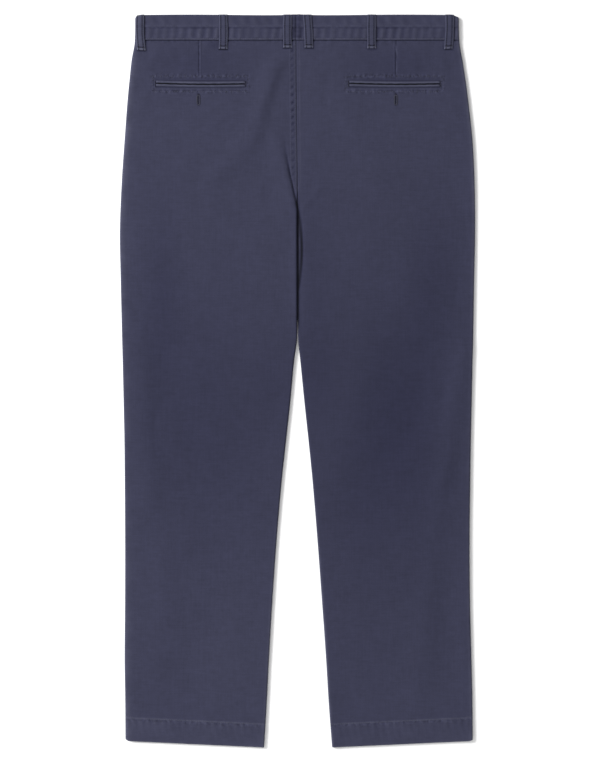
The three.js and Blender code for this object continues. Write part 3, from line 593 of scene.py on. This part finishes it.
def back_top(side, out, down):
    """Height of the back's outer face over the table."""
    x = SIDES[side] * out
    inner, outer = outline(side + "_in", down), outline(side + "_out", down)
    off_seam, from_band = out - inner, down - BAND_DEPTH
    below_seat = step(SEAT_SEAM_END - 30, SEAT_SEAM_END + 40, down)
    z = LEG_TOP + EDGE_ROLL * (
        hill(out, outer, EDGE_ROLL_REACH) + hill(out, inner, EDGE_ROLL_REACH) * below_seat
    )
    z = z + FOLD_GAIN * fold_heights(FOLDS, x, down) + FINE_GAIN * fold_heights(FINE_FOLDS, x, down)
    z = z + 0.6 * np.exp(-np.maximum(from_band, 0) / 14)
    # the waist seam pulls the cloth into short puckers and a ditch along the waistband
    z = z + 0.22 * pucker(x, 11.5, 1.3) * np.exp(-from_band / 7) - 0.7 * hill(from_band, 0, 1.1)
    # hem: the turned-up layers stand proud below the stitch line and twist slightly
    depth = (down - HEM_STITCH_DOWN) / (HEM_DOWN - HEM_STITCH_DOWN)
    twist = hem_waves(x, down) * np.clip(1 - depth, 0, 1) * np.clip(depth * 6, 0, 1)
    z = z + (HEM_PROUD + 0.30 * twist) * at_hem(down)
    z = z - 0.22 * hill(down, HEM_STITCH_DOWN, 1.3) - 0.7 * hill(down, HEM_DOWN, 1.2)
    # dart: a stitched ditch that dies away at its point, with the cloth a little fuller beside it
    dart = step(DART_END + 2, DART_END - 18, down) * (from_band > 0)
    z = z + dart * (0.28 * hill(out, DART_OUT - 1.7, 1.5) - 0.55 * hill(out, DART_OUT, 0.8))
    # pocket: short stitched puckers above and below the welts
    for level in FRAME_DOWN:
        waves = pucker(x, FRAME_WAVE, level) * hill(down, level, 3.6)
        z = z + 0.22 * waves * step(73, 66, np.abs(out - POCKET_OUT))
    fork = step(*FORK_START, down) * step(*FORK_END, down)
    if side == "left":
        fell = step(FELL_WIDTH + 0.6, FELL_WIDTH - 0.6, off_seam) * (1 - below_seat)
        drawn = hill(off_seam, FELL_MIDDLE, 2.6) * step(44, 52, down) * step(FELL_SEWN_END, 235, down)
        z = z + FELL_PROUD * fell + 0.75 * drawn * fell_waves(x, down)
        off_line = x - fork_fold_line(down)
        ridge = hill(off_line, -6.5, 6) - 1.5 * hill(off_line, 0.4, 1.8)
        z = z + 0.85 * fork_fold_depth(down) * ridge + 1.3 * fork * hill(off_seam, 0, 8)
    else:
        z = z - 1.4 * hill(x, ditch_line(down), 2.4) * ditch_arc(down) ** 0.7 - 1.2 * fork * hill(off_seam, 0, 9)
    # the cloth never lies quite flat: slow, shallow unevenness all over
    return z + 0.10 * np.sin(x / 23 + 1.3 * np.sin(down / 61)) * np.sin(down / 37 + 0.9 * np.sin(x / 41))


def back_look(side, out, down, fold_in, fold_out):
    """Where the back is paler, from wear and painted highlight; where seam lines, painted shade and painted
    shadows darken it; and where stitches draw it in.
    """
    sign = SIDES[side]
    x = sign * out
    off_seam, off_edge, off_pocket = out - fold_in, fold_out - out, np.abs(out - POCKET_OUT)
    seat = step(SEAT_SEAM_END + 30, SEAT_SEAM_END - 10, down)
    fork = step(*FORK_SHADE_START, down) * step(*FORK_SHADE_END, down)
    # the hem's stitch line and fold, then the edges of the leg, paler from wear and painted highlight
    wear_and_highlight = 0.55 * hill(down, HEM_DOWN, 1.6) + 0.55 * hill(down, HEM_STITCH_DOWN - 0.5, 1.0)
    wear_and_highlight = wear_and_highlight + 0.09 * step(HEM_STITCH_DOWN, HEM_STITCH_DOWN + 2, down)
    rub_and_highlight, rub_and_highlight_reach = EDGE_RUB_AND_HIGHLIGHT[side]
    wear_and_highlight = wear_and_highlight + rub_and_highlight * (0.68 + 0.32 * np.cos((down - 150) / 180)) * hill(off_edge, 0, rub_and_highlight_reach)
    # painted highlight: a wide lighter band along the left leg's outer edge, on the side the light comes from
    wear_and_highlight = wear_and_highlight + 0.10 * (side == "left") * hill(off_edge, 0, 18)
    wear_and_highlight = wear_and_highlight + (0.15 + 0.42 * step(700, 900, down)) * hill(off_seam, 0, 3.0) * (1 - 0.6 * seat)
    # painted shade along the foot of the waistband, and in the inner edge's crease at mid-leg
    dip = 0.9 * hill(down, BAND_DEPTH, 1.3)
    dip = dip + 0.25 * step(470, 500, down) * step(760, 640, down) * hill(off_seam, 0, 2.4)
    gather = 0.5 * hill(np.maximum(down - BAND_DEPTH, 0), 0, 6) + 0.8 * hill(down, HEM_STITCH_DOWN + 2, 3)
    # painted shade in the troughs of the hem's puckers, painted highlight on their crests
    below_stitch = np.clip((down - HEM_STITCH_DOWN) / 12, 0, 1)
    pull = hem_waves(x, down) * (below_stitch > 0) * (1 - below_stitch)
    dip = dip + 0.30 * np.clip(-pull, 0, 1)
    wear_and_highlight = wear_and_highlight + 0.26 * np.clip(pull, 0, 1)
    # dart: a painted highlight beside its ditch and painted shade in it
    dart = step(DART_END + 1, DART_END - 5, down)
    wear_and_highlight = wear_and_highlight + 0.32 * dart * hill(x, sign * DART_OUT + 1.2, 0.8)
    dip = dip + 0.55 * dart * hill(x, sign * DART_OUT - 0.4, 0.9)
    gather = gather + 0.6 * dart * hill(out, DART_OUT, 2.4)
    # pocket: a painted shadow round the welts, painted shade in the open slit, a stitched edge drawn as a paler
    # and a darker line, and the puckered frame with painted shade in its troughs and painted highlight on its
    # crests
    past_end = np.maximum(off_pocket - POCKET_LENGTH[side] / 2 - 1.0, 0)
    past_welt = np.maximum(np.abs(down - POCKET_SLIT_DOWN) - WELT_SHADOW_HALF, 0)
    dip = dip + 1.1 * step(2.6, 0, np.hypot(past_end, past_welt))
    dip = dip + 1.7 * hill(down, POCKET_SLIT_DOWN + 0.4, 1.0) * (off_pocket < SLIT_HALF)
    off_slit = np.abs(down - POCKET_SLIT_DOWN - 0.7)
    wear_and_highlight = wear_and_highlight + 0.16 * hill(off_slit, 6.7, 0.9) * (off_pocket < EDGE_HALF)
    dip = dip + 0.26 * hill(off_slit, 8.2, 0.9) * (off_pocket < EDGE_HALF)
    for row in FRAME_DOWN:
        ripple = pucker(x, FRAME_WAVE, row) * hill(down, row, 3.4) * (off_pocket < FRAME_HALF)
        dip = dip + 0.30 * np.clip(-ripple, 0, 1)
        wear_and_highlight = wear_and_highlight + 0.20 * np.clip(ripple, 0, 1)
    past_frame = np.maximum(
        off_pocket - POCKET_LENGTH[side] / 2 - FRAME_PAST_END,
        np.abs(down - sum(FRAME_DOWN) / 2) - (FRAME_DOWN[1] - FRAME_DOWN[0]) / 2,
    )
    gather = gather + 1.6 * hill(past_frame, 0, 2.6)
    # buttonhole: painted shade inside it and a painted shadow under the bar at its top
    beside_hole = np.abs(out - BUTTONHOLE_OUT[side])
    hole = np.maximum(beside_hole / 1.7, np.abs(down - BUTTONHOLE_DOWN + 0.7) / 8.9)
    bar = np.exp(-((beside_hole / 2) ** 4)) * hill(down, BUTTONHOLE_DOWN - 8.7, 1.1)
    dip = dip + step(1.15, 0.7, hole) + 0.6 * bar
    # shadows beside and below the belt loops
    for name, loop in BACK_LOOPS.items():
        if name.endswith(side):
            beside_loop = np.abs(out - np.abs(loop["bottom"])) - LOOP_WIDTH / 2
            below_loop = down - loop["end"]
            dip = dip + 0.5 * hill(np.maximum(beside_loop, below_loop - 0.4), 0.7, 1.0)
            dip = dip + 0.7 * hill(below_loop, 0.7, 0.9) * (beside_loop < 0)
    # painted shade patches: soft darkening in place of the shading of broad troughs
    for patch_x, patch_down, reach_x, reach_down, amount in PAINTED_SHADE_PATCHES:
        dip = dip + amount * hill(x, patch_x, reach_x) * hill(down, patch_down, reach_down)
    # the fork lies in shade, so its paler marks fade there
    wear_and_highlight = wear_and_highlight * (1 - 0.8 * fork * (off_seam < 12))
    if side == "left":
        # left: painted shade in the troughs of the felled seam's puckers, painted shadows along the fork's edge
        # and under the fold over the fork, and a paler line along the seat seam, partly painted highlight
        sewn = (np.abs(off_seam - FELL_MIDDLE) < 4.2) * step(44, 52, down) * step(FELL_SEWN_END, 215, down)
        dip = dip + 1.15 * sewn * np.clip(-fell_waves(x, down), 0, 1) * hill(off_seam, 5.6, 2.2)
        dip = dip + 0.9 * fork * hill(off_seam, 0, 2.2)
        dip = dip + 1.1 * fork_fold_depth(down) ** 2 * hill(x, fork_fold_line(down) + 0.3, 1.3)
        wear_and_highlight = wear_and_highlight + 0.30 * seat * hill(off_seam, 1.0, 0.9)
    else:
        # right: painted shade along the seat seam, the fork's edge and the ditch beside it, and painted
        # highlights in the ditch and along the seat seam
        line, ditch = ditch_line(down), ditch_arc(down) ** 0.7
        dip = dip + 0.15 * seat * hill(off_seam, 0.6, 0.9) + 1.2 * fork * hill(off_seam, 0, 2.4)
        dip = dip + 1.2 * ditch * hill(out, line, 2.4)
        wear_and_highlight = wear_and_highlight + 0.75 * ditch * hill(out, 0.45 * line, 0.8) + 0.22 * seat * hill(off_seam, 4.6, 0.9)
    return wear_and_highlight, dip, gather


def turned_edge(fold_at, inward, radius, low, high, ply, count=9):
    """Outer and inner points of a turned edge, from under the fold up to the top: (out, z) pairs by row."""
    angle = np.radians(np.linspace(-90, -270, count))[None, :]
    middle, half = (low + high) / 2, (high - low) / 2
    outer = (fold_at + inward * radius * (1 + np.cos(angle)), middle + half * np.sin(angle))
    reach = radius + np.maximum(radius - ply, 0.3) * np.cos(angle)
    return outer, (fold_at + inward * reach, middle + np.maximum(half - ply, 0.1) * np.sin(angle))


def side_by_side(*parts):
    return np.concatenate(parts, axis=1)


for side, sign in SIDES.items():
    down = spaced(
        (BAND_DEPTH + SEAM_GAP, 46, 0.9), (46, 120, 1.9), (120, 285, 2.4), (285, 440, 3.2), (440, 520, 2.4),
        (520, 1040, 6.2), (1040, 1060, 1.0), (1060, HEM_DOWN - 4, 2.2), (HEM_DOWN - 4, HEM_DOWN, 0.8),
    )
    flat = 0 * down
    fold_in, fold_out = outline(side + "_in", down), outline(side + "_out", down)
    low = LIP_HEIGHT * step(LEG_PARTING + 12, LEG_PARTING - 8, down)
    ply = PLY + HEM_EXTRA_PLY * at_hem(down)
    radius = SEAM_RADIUS + (FOLD_RADIUS - SEAM_RADIUS) * step(SEAT_SEAM_END, SEAT_SEAM_END + 60, down)
    near = np.concatenate([np.arange(2.8, 12.4, 0.8), np.arange(13.4, NEAR_SEAM, 1.7)])[None, :]
    share = np.concatenate([
        np.linspace(0.008, 0.485, 40), np.linspace(0.492, 0.53, 13), np.linspace(0.54, 0.985, 38), [0.993],
    ])[None, :]
    first, last = fold_in + NEAR_SEAM, fold_out - FOLD_RADIUS
    out = side_by_side(fold_in + near, first + (last - first) * share)
    top = np.maximum(back_top(side, out, down), low + 2 * ply + 0.25)
    edge_in = np.maximum(back_top(side, fold_in + radius, down), low + 2 * ply + 0.3)
    edge_out = np.maximum(back_top(side, last, down), 2 * ply + 0.3)
    turn_in, under_in = turned_edge(fold_in, 1, radius, low, edge_in, ply)
    turn_out, under_out = turned_edge(fold_out, -1, FOLD_RADIUS, flat, edge_out, ply)
    outer_out = side_by_side(fold_in + LIP, turn_in[0], out, turn_out[0][:, ::-1], fold_out - LIP)
    outer_z = side_by_side(low, turn_in[1], top, turn_out[1][:, ::-1], flat)
    inner_out = side_by_side(fold_in + LIP, under_in[0], out, under_out[0][:, ::-1], fold_out - LIP)
    inner_z = side_by_side(low + ply, under_in[1], top - ply, under_out[1][:, ::-1], flat + ply)
    wear_and_highlight, dip, gather = back_look(side, outer_out, down, fold_in, fold_out)
    panel = cloth_wall(
        "back_panel_" + side, points(sign * outer_out, tilted(side, outer_out, down), outer_z),
        points(sign * inner_out, tilted(side, inner_out, down), inner_z), wear_and_highlight, dip, gather,
    )
    dress(panel, TWILL, "back_" + side)

    ends = outline(side + "_in", HEM_STITCH_DOWN) + 2, outline(side + "_out", HEM_STITCH_DOWN) - 2
    hem_out = np.linspace(*ends, 90)
    hem_level = tilted(side, hem_out, HEM_STITCH_DOWN) - 3.4 * hill(hem_out, ends[1], 9)
    hem_z = back_top(side, hem_out, HEM_STITCH_DOWN) + 0.12
    runs = [(points(sign * hem_out, hem_level, hem_z), *STITCH)]
    if side == "left":
        seam_down = np.linspace(BAND_DEPTH + 2, FELL_SEWN_END, 120)
        for offset in FELL_ROWS:
            seam_out = outline("left_in", seam_down) + offset
            seam_z = back_top(side, seam_out, seam_down) + 0.1
            runs.append((points(-seam_out, seam_down, seam_z), *FELL_STITCH))
    thread_mesh("back_stitching_" + side, runs, THREAD)

# Back pockets: each mouth is cut in the panel and bound by two narrow folded welts of the same twill, with
# rows of stitching round them and a bar across each end.
SLIT = 1.5
WELT_DEPTH = 4.1
WELT_THICK = 1.3
POCKET_SAG = 1.1
POCKET_LEAN = {"left": -0.9, "right": 0.6}
POCKET_BAR = (0.8, 1.9, 0.5)
POCKET_BAR_PAST_END = 1.9
POCKET_BAR_HALF = 5.4
WELT_TWILL = cloth_material("welt_twill", (0.036, 0.0375, 0.067), (0.076, 0.079, 0.118), grain=0.8)


def pocket_down(side, out, offset):
    """Level of a line along the pocket: its middle sags a little below its ends."""
    share = np.clip((out - POCKET_OUT) / POCKET_LENGTH[side] + 0.5, 0, 1)
    sag = POCKET_SAG * np.sin(np.pi * share) + POCKET_LEAN[side] * (share - 0.5)
    return POCKET_SLIT_DOWN - 0.5 + sag + offset


for side, sign in SIDES.items():
    length = POCKET_LENGTH[side]
    out = np.linspace(POCKET_OUT - length / 2, POCKET_OUT + length / 2, 100)[None, :]
    share = np.linspace(0, 1, 12)[:, None]
    ends = 0.4 + 0.6 * step(0, 2.2, length / 2 - np.abs(out - POCKET_OUT))
    crown = (1 - np.abs(2 * share - 0.75) ** 3).clip(0.15, 1)
    for part, facing in (("upper", -1), ("lower", 1)):
        wave = 0.18 * pucker(out, 14, 3.0 + facing)
        down = pocket_down(side, out, facing * (SLIT / 2 + WELT_DEPTH * share + wave * (1 - share)))
        base = back_top(side, out, down)
        # a painted highlight with some wear along each welt's crest, and painted shade along its two edges
        rubbed_and_lit = (0.78 + 0.07 * facing) * hill(share, 0.34 + 0.03 * facing, 0.2)
        sunk = (1.1 + 0.4 * facing) * hill(share, 0, 0.16 + 0.04 * facing)
        sunk = sunk + (0.95 - 0.15 * facing) * hill(share, 1, 0.14)
        welt = cloth_wall(
            f"pocket_welt_{part}_{side}", points(sign * out, down, base + SEAM_GAP + WELT_THICK * crown * ends),
            points(sign * out, down, base + 0.1), rubbed_and_lit, sunk,
        )
        dress(welt, WELT_TWILL, f"welt_{part}_{side}")
    far = length / 2 + FRAME_PAST_END
    row, column = np.linspace(POCKET_OUT - far, POCKET_OUT + far, 90), np.linspace(*FRAME_DOWN, 30)
    frame_lines = [(row, level) for level in FRAME_DOWN] + [(POCKET_OUT + end, column) for end in (-far, far)]
    runs = [
        (points(sign * line_out, level, back_top(side, line_out, level) + 0.1), *FRAME_STITCH)
        for line_out, level in frame_lines
    ]
    for end in (-1, 1):
        where = POCKET_OUT + end * (length / 2 + POCKET_BAR_PAST_END)
        level = pocket_down(side, where, np.linspace(-POCKET_BAR_HALF, POCKET_BAR_HALF, 20))
        runs.append((points(sign * where, level, back_top(side, where, level) + 0.2), *POCKET_BAR))
    thread_mesh("pocket_stitching_" + side, runs, THREAD)

# Buttonholes: an upright slot below each pocket mouth, worked round with close purl stitches, with painted shade
# on the panel where it opens into the pocket.
BUTTONHOLE_LENGTH = 16.5
BUTTONHOLE_WIDTH = 5.6
PURL_PITCH = 0.52
PURL_REACH = np.array([-0.75, 1.15])
PURL = thread_material("buttonhole_purl", (0.024, 0.0245, 0.042))
straight = (BUTTONHOLE_LENGTH - BUTTONHOLE_WIDTH) / 2
middle = (BUTTONHOLE_WIDTH / 2 + 0.6) / 2
turn, flank = np.linspace(0, np.pi, 12), np.linspace(-straight, straight, 24)
end_turn = np.stack([middle * np.cos(turn), straight + middle * np.sin(turn)], -1)
half_path = np.concatenate([np.stack([np.full(24, middle), flank], -1), end_turn])
path = np.concatenate([half_path, -half_path])
travel = np.concatenate([[0], np.cumsum(np.hypot(*np.diff(path, axis=0).T))])
for side, sign in SIDES.items():
    runs = []
    for place in np.arange(0.2, travel[-1], PURL_PITCH):
        centre = np.array([np.interp(place, travel, path[:, k]) for k in range(2)])
        away = centre - (0, np.clip(centre[1], -straight, straight))
        ends = centre + away / np.hypot(*away) * PURL_REACH[:, None]
        out, level = BUTTONHOLE_OUT[side] + ends[:, 0], BUTTONHOLE_DOWN - ends[:, 1]
        line = points(sign * out, level, back_top(side, out, level) + 0.32)
        runs.append((line, np.linalg.norm(line[1] - line[0]) * 0.999, 2.2, 0.55))
    thread_mesh("worked_buttonhole_" + side, runs, PURL, "buttonhole_" + side)

# Waistband: a stiffened double strip in two halves, joined at the centre back and folded at the sides. Its
# lower edge is stitched down on the panels and draws the cloth into puckers below the inner curtain's ledge.
BAND_WALL = 2.7
BAND_TOP = 5.8
BAND_LEDGE = 20.0
BAND_STITCH_DOWN = 37.4
BAND_SEAM_X = -2.0
WAIST_CORNER = 3.2
BUTTON_DOWN = 20.0
BUTTON_RADIUS = 8.5
BUTTON_DENT = 1.75


def corner_drop(side, out, down):
    """The waist's outer corners are a little rounded."""
    return WAIST_CORNER * hill(out, outline(side + "_out", 0.0), 6) * step(12, 0, down)


def waist_level(side, out, down):
    """The waist's top edge waves slowly and is raised over the bulky centre seam."""
    edge = 1.9 - 1.1 * hill(out, 0, 18) + 0.45 * np.sin(np.abs(out) / 38 + 0.5)
    return down + step(12, 0, down) * edge + corner_drop(side, out, down)


def band_waves(x, down):
    """Puckers of the waistband: those below its inner ledge, and those above it."""
    lower = step(BAND_LEDGE, BAND_LEDGE + 3, down) * step(38.5, 35, down)
    upper = step(2, 6, down) * step(BAND_LEDGE - 1, BAND_LEDGE - 6, down)
    return lower * pucker(x + 0.12 * (down - 30), 12.4, 0.9), upper * pucker(x - 0.3 * down, 17.0, 2.4)


def centre_waves(down):
    return pucker(down, 8.5, 2.0)


def band_height(x, down):
    """Height of the waistband's outer face on the back."""
    lower, upper = band_waves(x, down)
    z = BAND_TOP - 0.9 * hill(down, 0, 1.3) - 0.9 * hill(down, BAND_DEPTH, 1.0) + 0.36 * lower + 0.16 * upper
    z = z - 0.28 * hill(down, BAND_LEDGE + 1.2, 1.1) + 0.14 * hill(down, BAND_LEDGE - 1.8, 1.8)
    z = z - 0.22 * hill(down, BAND_STITCH_DOWN - 0.2, 0.8)
    off_seam = np.abs(x - BAND_SEAM_X)
    z = z - 0.9 * hill(off_seam, 0, 1.1) + 0.55 * hill(off_seam, 5, 3.5) * (0.6 + 0.4 * centre_waves(down))
    return z + 0.10 * np.sin(x / 17 + 0.7) * np.sin(down / 9)


for side, sign in SIDES.items():
    down = spaced((0, 4, 0.7), (4, 18, 2.0), (18, 24, 0.9), (24, 35, 1.5), (35, BAND_DEPTH, 0.6))
    fold = outline(side + "_out", down) - 0.5 * hill(down, 0, 1.5)
    start, closing = outline(side + "_in", down), fly_edge(side, down)
    radius = BAND_TOP / 2 + 0.3
    over = start + (fold - radius - start) * np.linspace(0, 1, 150)[None, :-1]
    under = closing + (fold - radius - closing) * np.linspace(1, 0, 70)[None, 1:]
    top = band_height(sign * over, down)
    at_turn = band_height(sign * (fold - radius), down)
    turn, lining = turned_edge(fold, -1, radius, 0 * down, at_turn, BAND_WALL, 13)
    pressed = LOOP_DENT * step(LOOP_WIDTH / 2 + 1.4, LOOP_WIDTH / 2 + 0.3, np.abs(under - FRONT_LOOP_X))
    if side == "left":
        from_button = np.hypot(under, down - BUTTON_DOWN)
        pressed = np.maximum(pressed, BUTTON_DENT * step(BUTTON_RADIUS + 1.4, BUTTON_RADIUS + 0.3, from_button))
    outer_out = side_by_side(over, turn[0][:, ::-1], under)
    outer_z = side_by_side(top, turn[1][:, ::-1], pressed)
    inner_out = side_by_side(over, lining[0][:, ::-1], under)
    inner_z = side_by_side(BAND_TOP - BAND_WALL + 0 * over, lining[1][:, ::-1], BAND_WALL + 0 * under)
    x = sign * outer_out
    lower, upper = band_waves(x, down)
    # paler lines by the stitch row, at the top edge and the ledge, and round the folded sides, wear with painted
    # highlight; painted highlight on the pucker crests
    wear_and_highlight = 0.55 * hill(down, BAND_STITCH_DOWN + 0.9, 0.8) + 0.20 * hill(down, 0, 1.2)
    wear_and_highlight = wear_and_highlight + 0.14 * hill(down, BAND_LEDGE - 1.5, 1.8) + EDGE_RUB_AND_HIGHLIGHT[side][0] * hill(outer_out, fold, 3.5)
    wear_and_highlight = wear_and_highlight + 0.30 * np.clip(lower, 0, 1) + 0.16 * np.clip(upper, 0, 1)
    # painted shade under the ledge, along the seam at the foot, at the top edge, in the pucker troughs and over
    # the bulky centre seam
    ledge = 0.45 + 0.3 * np.sin(x / 13 + 0.4) * np.sin(x / 31)
    dip = ledge * hill(down, BAND_LEDGE + 1.4, 1.3) + 1.2 * hill(down, BAND_DEPTH, 0.7) + 0.5 * hill(down, 0, 0.7)
    dip = dip + 0.20 * np.clip(-upper, 0, 1) + 0.40 * np.clip(-lower, 0, 1)
    dip = dip + np.exp(-((x / 5.5) ** 4)) * (0.55 + 0.35 * centre_waves(down)) * (down < 36)
    gather = 0.7 * hill(down, BAND_STITCH_DOWN, 2.0) + 0.45 * hill(down, BAND_LEDGE, 3.0)
    band = cloth_wall(
        "waistband_half_" + side, points(x, waist_level(side, outer_out, down), outer_z),
        points(sign * inner_out, waist_level(side, inner_out, down), inner_z), wear_and_highlight, dip, gather,
    )
    dress(band, TWILL, "waistband_" + side)

    row = np.linspace(3.5, outline(side + "_out", BAND_STITCH_DOWN - 0.2) - 3, 160)
    row_z = band_height(sign * row, BAND_STITCH_DOWN) + 0.12
    runs = [(points(sign * row, BAND_STITCH_DOWN, row_z), *STITCH)]
    # on the front the row stops on both sides of the belt loop
    past_loop, row_start = LOOP_WIDTH / 2 + LOOP_ROOM, -8.0 if side == "left" else 16.0
    for ends in ((row_start, FRONT_LOOP_X - past_loop), (FRONT_LOOP_X + past_loop, row[-1])):
        runs.append((points(sign * np.linspace(*ends, 80), BAND_STITCH_DOWN, FRONT_STITCH_Z), *STITCH))
    thread_mesh("waistband_stitching_" + side, runs, THREAD)

# Belt loops: folded strips of twill with a row of stitching inside each edge, sewn into the waistband's top
# and tacked below its lower seam with a close bar. Six show on the back and sides, two lie under the front.
LOOP_THICK = 1.4
LOOP_ROW = 0.56
LOOP_STITCH = (3.2, 2.2, 0.45)
LOOP_BAR_STITCH = (1.95, 2.0, 0.45)
FRONT_LOOP_STITCH = (2.7, 2.2, 0.5)
ARCH_DOWN = np.array([1.7, 4, 8, 16, 28, 36, 40.5, 44.5])
ARCH_RISE = np.array([0.25, 0.4, 0.65, 0.8, 0.75, 0.55, 0.25, 0.0])
LOOP_TWILL = cloth_material("loop_twill", (0.036, 0.0375, 0.067), (0.090, 0.093, 0.134), grain=0.8)


def loop_surface(side, loop, across, down):
    """x and underside height of a back loop, at a share across (-1 to 1) and a level."""
    t = (down - ARCH_DOWN[0]) / (loop["end"] - ARCH_DOWN[0])
    centre = loop["top"] + (loop["bottom"] - loop["top"]) * t + loop["bow"] * np.sin(np.pi * t)
    x = centre + across * (LOOP_WIDTH / 2 + 0.15 * np.sin(down / 5 + loop["top"]))
    arch = BAND_TOP + np.interp(down, ARCH_DOWN, ARCH_RISE)
    panel = back_top(side, np.abs(centre), np.maximum(down, BAND_DEPTH + 2)) + 0.4
    on_panel = step(BAND_DEPTH, 44, down)
    return x, arch * (1 - on_panel) + panel * on_panel


for name, loop in BACK_LOOPS.items():
    side = name.split("_")[-1]
    strip_name = name.replace("belt_loop", "loop")
    down = spaced((ARCH_DOWN[0], 6, 0.8), (6, 36, 1.6), (36, loop["end"], 0.8))
    above_end = loop["end"] - down
    across = np.sin(np.linspace(-math.pi / 2, math.pi / 2, 26))[None, :]
    x, under = loop_surface(side, loop, across, down)
    side_rows = hill(np.abs(across), LOOP_ROW, 0.13)
    end_bar = hill(above_end, 4.2, 1.0)
    rounded = (1 - 0.75 * np.abs(across) ** 7) * (1 - 0.45 * hill(above_end, 0, 0.8))
    ripple = 0.10 * pucker(down + 3 * across, 7.5, loop["top"] / 50)
    crown = LOOP_THICK * rounded - 0.38 * side_rows - 0.25 * end_bar + ripple
    level = down + corner_drop(side, np.abs(x), down)
    if "side" in name:
        level = level - 0.56 * across * SIDES[side] * step(40, 50, down)
    # paler rims and a paler end, wear with painted highlight; on the left side loop an extra painted highlight on
    # its half turned to the light
    wear_and_highlight = (0.42 + 0.34 * across) * hill(np.abs(across), 0.90, 0.12) + 0.9 * hill(above_end, 1.5, 1.3)
    wear_and_highlight = wear_and_highlight + 0.40 * (name == "belt_loop_side_left") * (0.5 - 0.5 * across)
    # painted shade in the stitch grooves, across the end bar and along the ledge line
    dip = 1.5 * side_rows + 1.3 * end_bar * (np.abs(across) < 0.8) + 0.25 * hill(down, 19.5, 1.3)
    strip = cloth_wall(strip_name, points(x, level, under + crown), points(x, level, under), wear_and_highlight, dip)
    dress(strip, LOOP_TWILL, name)
    runs = []
    row_down = np.linspace(2, loop["end"] - 1.5, 60)
    for edge in (-LOOP_ROW, LOOP_ROW):
        row_x, row_z = loop_surface(side, loop, edge, row_down)
        runs.append((points(row_x, row_down, row_z + LOOP_THICK - 0.3), *LOOP_STITCH))
    for bar_down in (3.2, loop["end"] - 2.6):
        bar_x, bar_z = loop_surface(side, loop, np.linspace(-0.72, 0.72, 14), bar_down)
        for stitch_x in bar_x:
            ends_x, ends_down = np.array([stitch_x, stitch_x + 0.35]), np.array([bar_down + 1.0, bar_down - 1.0])
            runs.append((points(ends_x, ends_down, bar_z + LOOP_THICK - 0.2), *LOOP_BAR_STITCH))
    thread_mesh(strip_name + "_stitching", runs, THREAD)

for side, sign in SIDES.items():
    down = spaced((1.4, 51, 1.6))
    across = np.sin(np.linspace(-math.pi / 2, math.pi / 2, 20))[None, :]
    x = sign * FRONT_LOOP_X + across * LOOP_WIDTH / 2
    # paler rims: wear with painted highlight
    strip = cloth_wall(
        "loop_front_" + side, points(x, down, 0.35 * np.abs(across) ** 7), points(x, down, 1.2),
        wear_and_highlight=0.8 * hill(np.abs(across), 0.9, 0.12),
    )
    dress(strip, LOOP_TWILL, "belt_loop_front_" + side)
    row_down = np.linspace(3, 49, 50)
    runs = [
        (points(sign * FRONT_LOOP_X + off_centre, row_down, -0.02), *FRONT_LOOP_STITCH)
        for off_centre in (-4.0, 4.0)
    ]
    thread_mesh(f"loop_front_{side}_stitching", runs, THREAD)

# Waist button: a dished button of dark resin on the fly's top end, lying face down, sewn on with a cross of
# thread.
BUTTON_PROFILE = [
    (0.0, 0.45), (5.2, 0.45), (5.7, 0.15), (6.4, 0.0), (7.6, 0.05), (8.3, 0.4), (BUTTON_RADIUS, 0.8), (8.2, 1.3),
    (7.4, 1.5), (0.0, 1.5),
]
BUTTON_SEGMENTS = 48
BUTTON_THREAD = (6.2, 6.0, 0.8)
BUTTON_HOLES = np.array([-2.2, 2.2])
RESIN = plain_material("button_resin", (0.026, 0.027, 0.040), 0.38)
round_button = 2 * np.pi * np.arange(BUTTON_SEGMENTS) / BUTTON_SEGMENTS
rings = [
    points(radius * np.cos(round_button), BUTTON_DOWN - radius * np.sin(round_button), height)
    for radius, height in BUTTON_PROFILE[1:-1]
]
face_middle, back_middle = (points([0.0], BUTTON_DOWN, BUTTON_PROFILE[end][1]) for end in (0, -1))
button_points = np.concatenate([face_middle, *rings, back_middle])
ring = 1 + np.arange(BUTTON_SEGMENTS)
following = 1 + (np.arange(BUTTON_SEGMENTS) + 1) % BUTTON_SEGMENTS
faces = [(0, b, a) for a, b in zip(ring.tolist(), following.tolist())]
for base in range(0, (len(rings) - 1) * BUTTON_SEGMENTS, BUTTON_SEGMENTS):
    quads = np.stack([ring, following, following + BUTTON_SEGMENTS, ring + BUTTON_SEGMENTS], -1) + base
    faces += quads.tolist()
last_ring = (len(rings) - 1) * BUTTON_SEGMENTS
underside = len(button_points) - 1
faces += [(underside, a + last_ring, b + last_ring) for a, b in zip(ring.tolist(), following.tolist())]
button_mesh = bpy.data.meshes.new("button")
button_mesh.from_pydata((button_points * MM).tolist(), [], faces)
button_mesh.shade_smooth()
dress(shown("button", button_mesh), RESIN, "waist_button")
cross = [(points(BUTTON_HOLES, BUTTON_DOWN - lean * BUTTON_HOLES, 0.3), *BUTTON_THREAD) for lean in (-1, 1)]
thread_mesh("button_thread", cross, THREAD)
